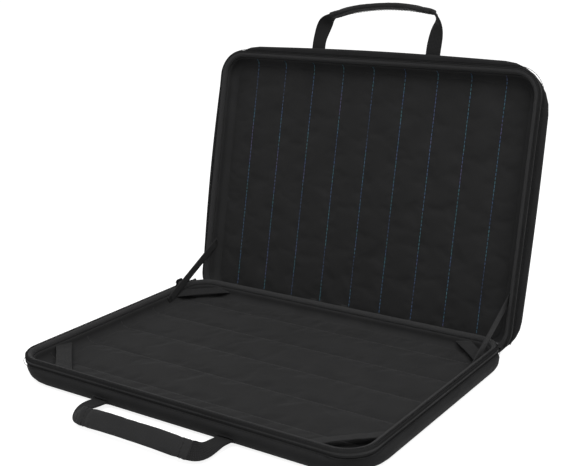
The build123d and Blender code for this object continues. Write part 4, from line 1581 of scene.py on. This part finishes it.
def pull():
    """The pull: an eye round the bridge, a neck and a rounded tab with four raised ridges."""
    along = np.array([0, 1.0, 0])
    down = np.array([-sin(PULL_LEAN), 0, -cos(PULL_LEAN)])
    through = np.cross(along, down)
    axes = np.array([along, down, through])
    turn = 2 * pi * np.arange(PULL_TURN) / PULL_TURN
    spread = np.cos(turn)[:, None] * down + np.sin(turn)[:, None] * through
    line = BRIDGE + EYE_RADIUS * spread
    section = ring_section(*EYE_HALF_SIZES, 0.5, 16)
    parts = [swept("pull_eye", line, unit(line - BRIDGE), same(along, PULL_TURN), section, True)]
    for name, place, half_sizes, squareness, count in PULL_BLOCKS:
        size = np.array(half_sizes) * MM
        centre = BRIDGE + down * place * MM
        parts.append(block(f"pull_{name}", centre, axes, size, squareness, count))
    return joined("pull", parts)


class CASE_OT_slider(bpy.types.Operator):
    """Make the zip's slider and its pull"""

    bl_idname = "hard_case.slider"
    bl_label = "Zip Slider"

    def execute(self, context):
        dress(slider(), "zip metal", "slider", ["zip_slider"])
        dress(pull(), "zip metal", "pull", ["zip_pull"])
        return {"FINISHED"}


# ---------------------------------------------------------------- stage
CAMERA_PLACE = (459.3 * MM, -638.06 * MM, 336.55 * MM)
CAMERA_YAW = radians(33.976)
CAMERA_PITCH = radians(15.759)
CAMERA_ROLL = radians(-0.682)
SENSOR_WIDTH = 36
FLOOR_REACH = 12.0
FLOOR_GREY = 0.58
LAMP_SIZES = (1.6, 1.2)
LAMP_PLACE = (0.7, -0.65, 1.55)
LAMP_TARGET = (0, 0.05, 0.05)


def seen_direct(tree):
    """1 on what the camera or a mirror sees, 0 on the light that falls on things."""
    path = node(tree, "ShaderNodeLightPath")
    return mix_fac(tree, path.outputs["Is Camera Ray"], path.outputs["Is Glossy Ray"], "MAXIMUM")


def stage_material(name, glow):
    """A white floor that keeps shadows: matt, and seen direct it also glows."""
    made = bpy.data.materials.new(name)
    made.use_nodes = True
    tree = made.node_tree
    tree.nodes.clear()
    strength = mix_fac(tree, seen_direct(tree), glow, "MULTIPLY")
    matt = node(tree, "ShaderNodeBsdfDiffuse", {"Color": (FLOOR_GREY, FLOOR_GREY, FLOOR_GREY, 1)})
    light = node(tree, "ShaderNodeEmission", {"Strength": strength})
    both = node(tree, "ShaderNodeAddShader", {0: matt.outputs[0], 1: light.outputs[0]})
    node(tree, "ShaderNodeOutputMaterial", {"Surface": both.outputs[0]})
    return made


def white_floor(glow):
    """The floor that the case lies on."""
    mesh = bpy.data.meshes.new("floor")
    low, high = -FLOOR_REACH, FLOOR_REACH
    corners = [(low, low, 0), (high, low, 0), (high, high, 0), (low, high, 0)]
    mesh.from_pydata(corners, [], [(0, 1, 2, 3)])
    mesh.materials.append(stage_material("white floor", glow))
    return linked("floor", mesh)


def white_room(strength):
    """The world: white where it is seen, and dimmer as a light."""
    world = bpy.data.worlds.new("white room")
    world.use_nodes = True
    tree = world.node_tree
    tree.nodes.clear()
    range_inputs = {"Value": seen_direct(tree), "To Min": strength, "To Max": 1.0}
    power = node(tree, "ShaderNodeMapRange", range_inputs).outputs[0]
    sky = node(tree, "ShaderNodeBackground", {"Color": (1, 1, 1, 1), "Strength": power})
    node(tree, "ShaderNodeOutputWorld", {"Surface": sky.outputs[0]})
    return world


def key_lamp(energy):
    """The large lamp above, turned to the case."""
    lamp = bpy.data.lights.new("key", "AREA")
    lamp.shape = "RECTANGLE"
    lamp.size, lamp.size_y = LAMP_SIZES
    lamp.energy = energy
    key = linked("key", lamp)
    key.location = LAMP_PLACE
    way = Vector(LAMP_TARGET) - key.location
    key.rotation_euler = way.to_track_quat("-Z", "Y").to_euler()


def fitted_camera(lens):
    """The camera, from its place, its yaw and pitch, and its roll about the line of sight."""
    camera = linked("camera", bpy.data.cameras.new("camera"))
    level_part = cos(CAMERA_PITCH)
    ahead = Vector(
        (-sin(CAMERA_YAW) * level_part, cos(CAMERA_YAW) * level_part, -sin(CAMERA_PITCH))
    )
    side = ahead.cross(Vector((0, 0, 1))).normalized()
    upright = side.cross(ahead)
    right = side * cos(CAMERA_ROLL) + upright * sin(CAMERA_ROLL)
    up = upright * cos(CAMERA_ROLL) - side * sin(CAMERA_ROLL)
    turn = Matrix((right, up, -ahead)).transposed()
    camera.matrix_world = Matrix.Translation(CAMERA_PLACE) @ turn.to_4x4()
    camera.data.sensor_width = SENSOR_WIDTH
    camera.data.lens = lens
    return camera


class CASE_OT_stage(bpy.types.Operator):
    """Make the floor, the lights and the camera"""

    bl_idname = "hard_case.stage"
    bl_label = "Stage"

    def execute(self, context):
        scene = context.scene
        settings = scene.hard_case_stage
        scene.view_settings.view_transform = "Standard"
        floor = white_floor(settings.floor_glow)
        scene.world = white_room(settings.world_strength)
        key_lamp(settings.key_strength)
        scene.camera = fitted_camera(settings.lens)
        return {"FINISHED"}


# ---------------------------------------------------------------- panel and registration
PIECES = (
    "mouldings", "piping", "zip", "linings", "handles", "bands", "spine", "slider", "stage",
)


class CASE_PT_panel(bpy.types.Panel):
    """The case's settings and the operators that make its pieces"""

    bl_idname = "CASE_PT_panel"
    bl_label = "Hard Case"
    bl_space_type = "VIEW_3D"
    bl_region_type = "UI"
    bl_category = "Hard Case"

    def draw(self, context):
        for group in ("hard_case_sizes", "hard_case_colours", "hard_case_stage"):
            settings = getattr(context.scene, group)
            box = self.layout.box()
            for name in settings.__annotations__:
                box.prop(settings, name)
        for piece in PIECES:
            self.layout.operator(f"hard_case.{piece}")


CLASSES = (
    CaseSizes, CaseColours, StageSettings, CASE_OT_mouldings, CASE_OT_piping, CASE_OT_zip,
    CASE_OT_linings, CASE_OT_handles, CASE_OT_bands, CASE_OT_spine, CASE_OT_slider,
    CASE_OT_stage, CASE_PT_panel,
)


def register():
    for item in CLASSES:
        bpy.utils.register_class(item)
    bpy.types.Scene.hard_case_sizes = PointerProperty(type=CaseSizes)
    bpy.types.Scene.hard_case_colours = PointerProperty(type=CaseColours)
    bpy.types.Scene.hard_case_stage = PointerProperty(type=StageSettings)


def unregister():
    del bpy.types.Scene.hard_case_stage
    del bpy.types.Scene.hard_case_colours
    del bpy.types.Scene.hard_case_sizes
    for item in reversed(CLASSES):
        bpy.utils.unregister_class(item)


def main():
    register()
    for piece in PIECES:
        getattr(bpy.ops.hard_case, piece)()


if __name__ == "__main__":
    main()
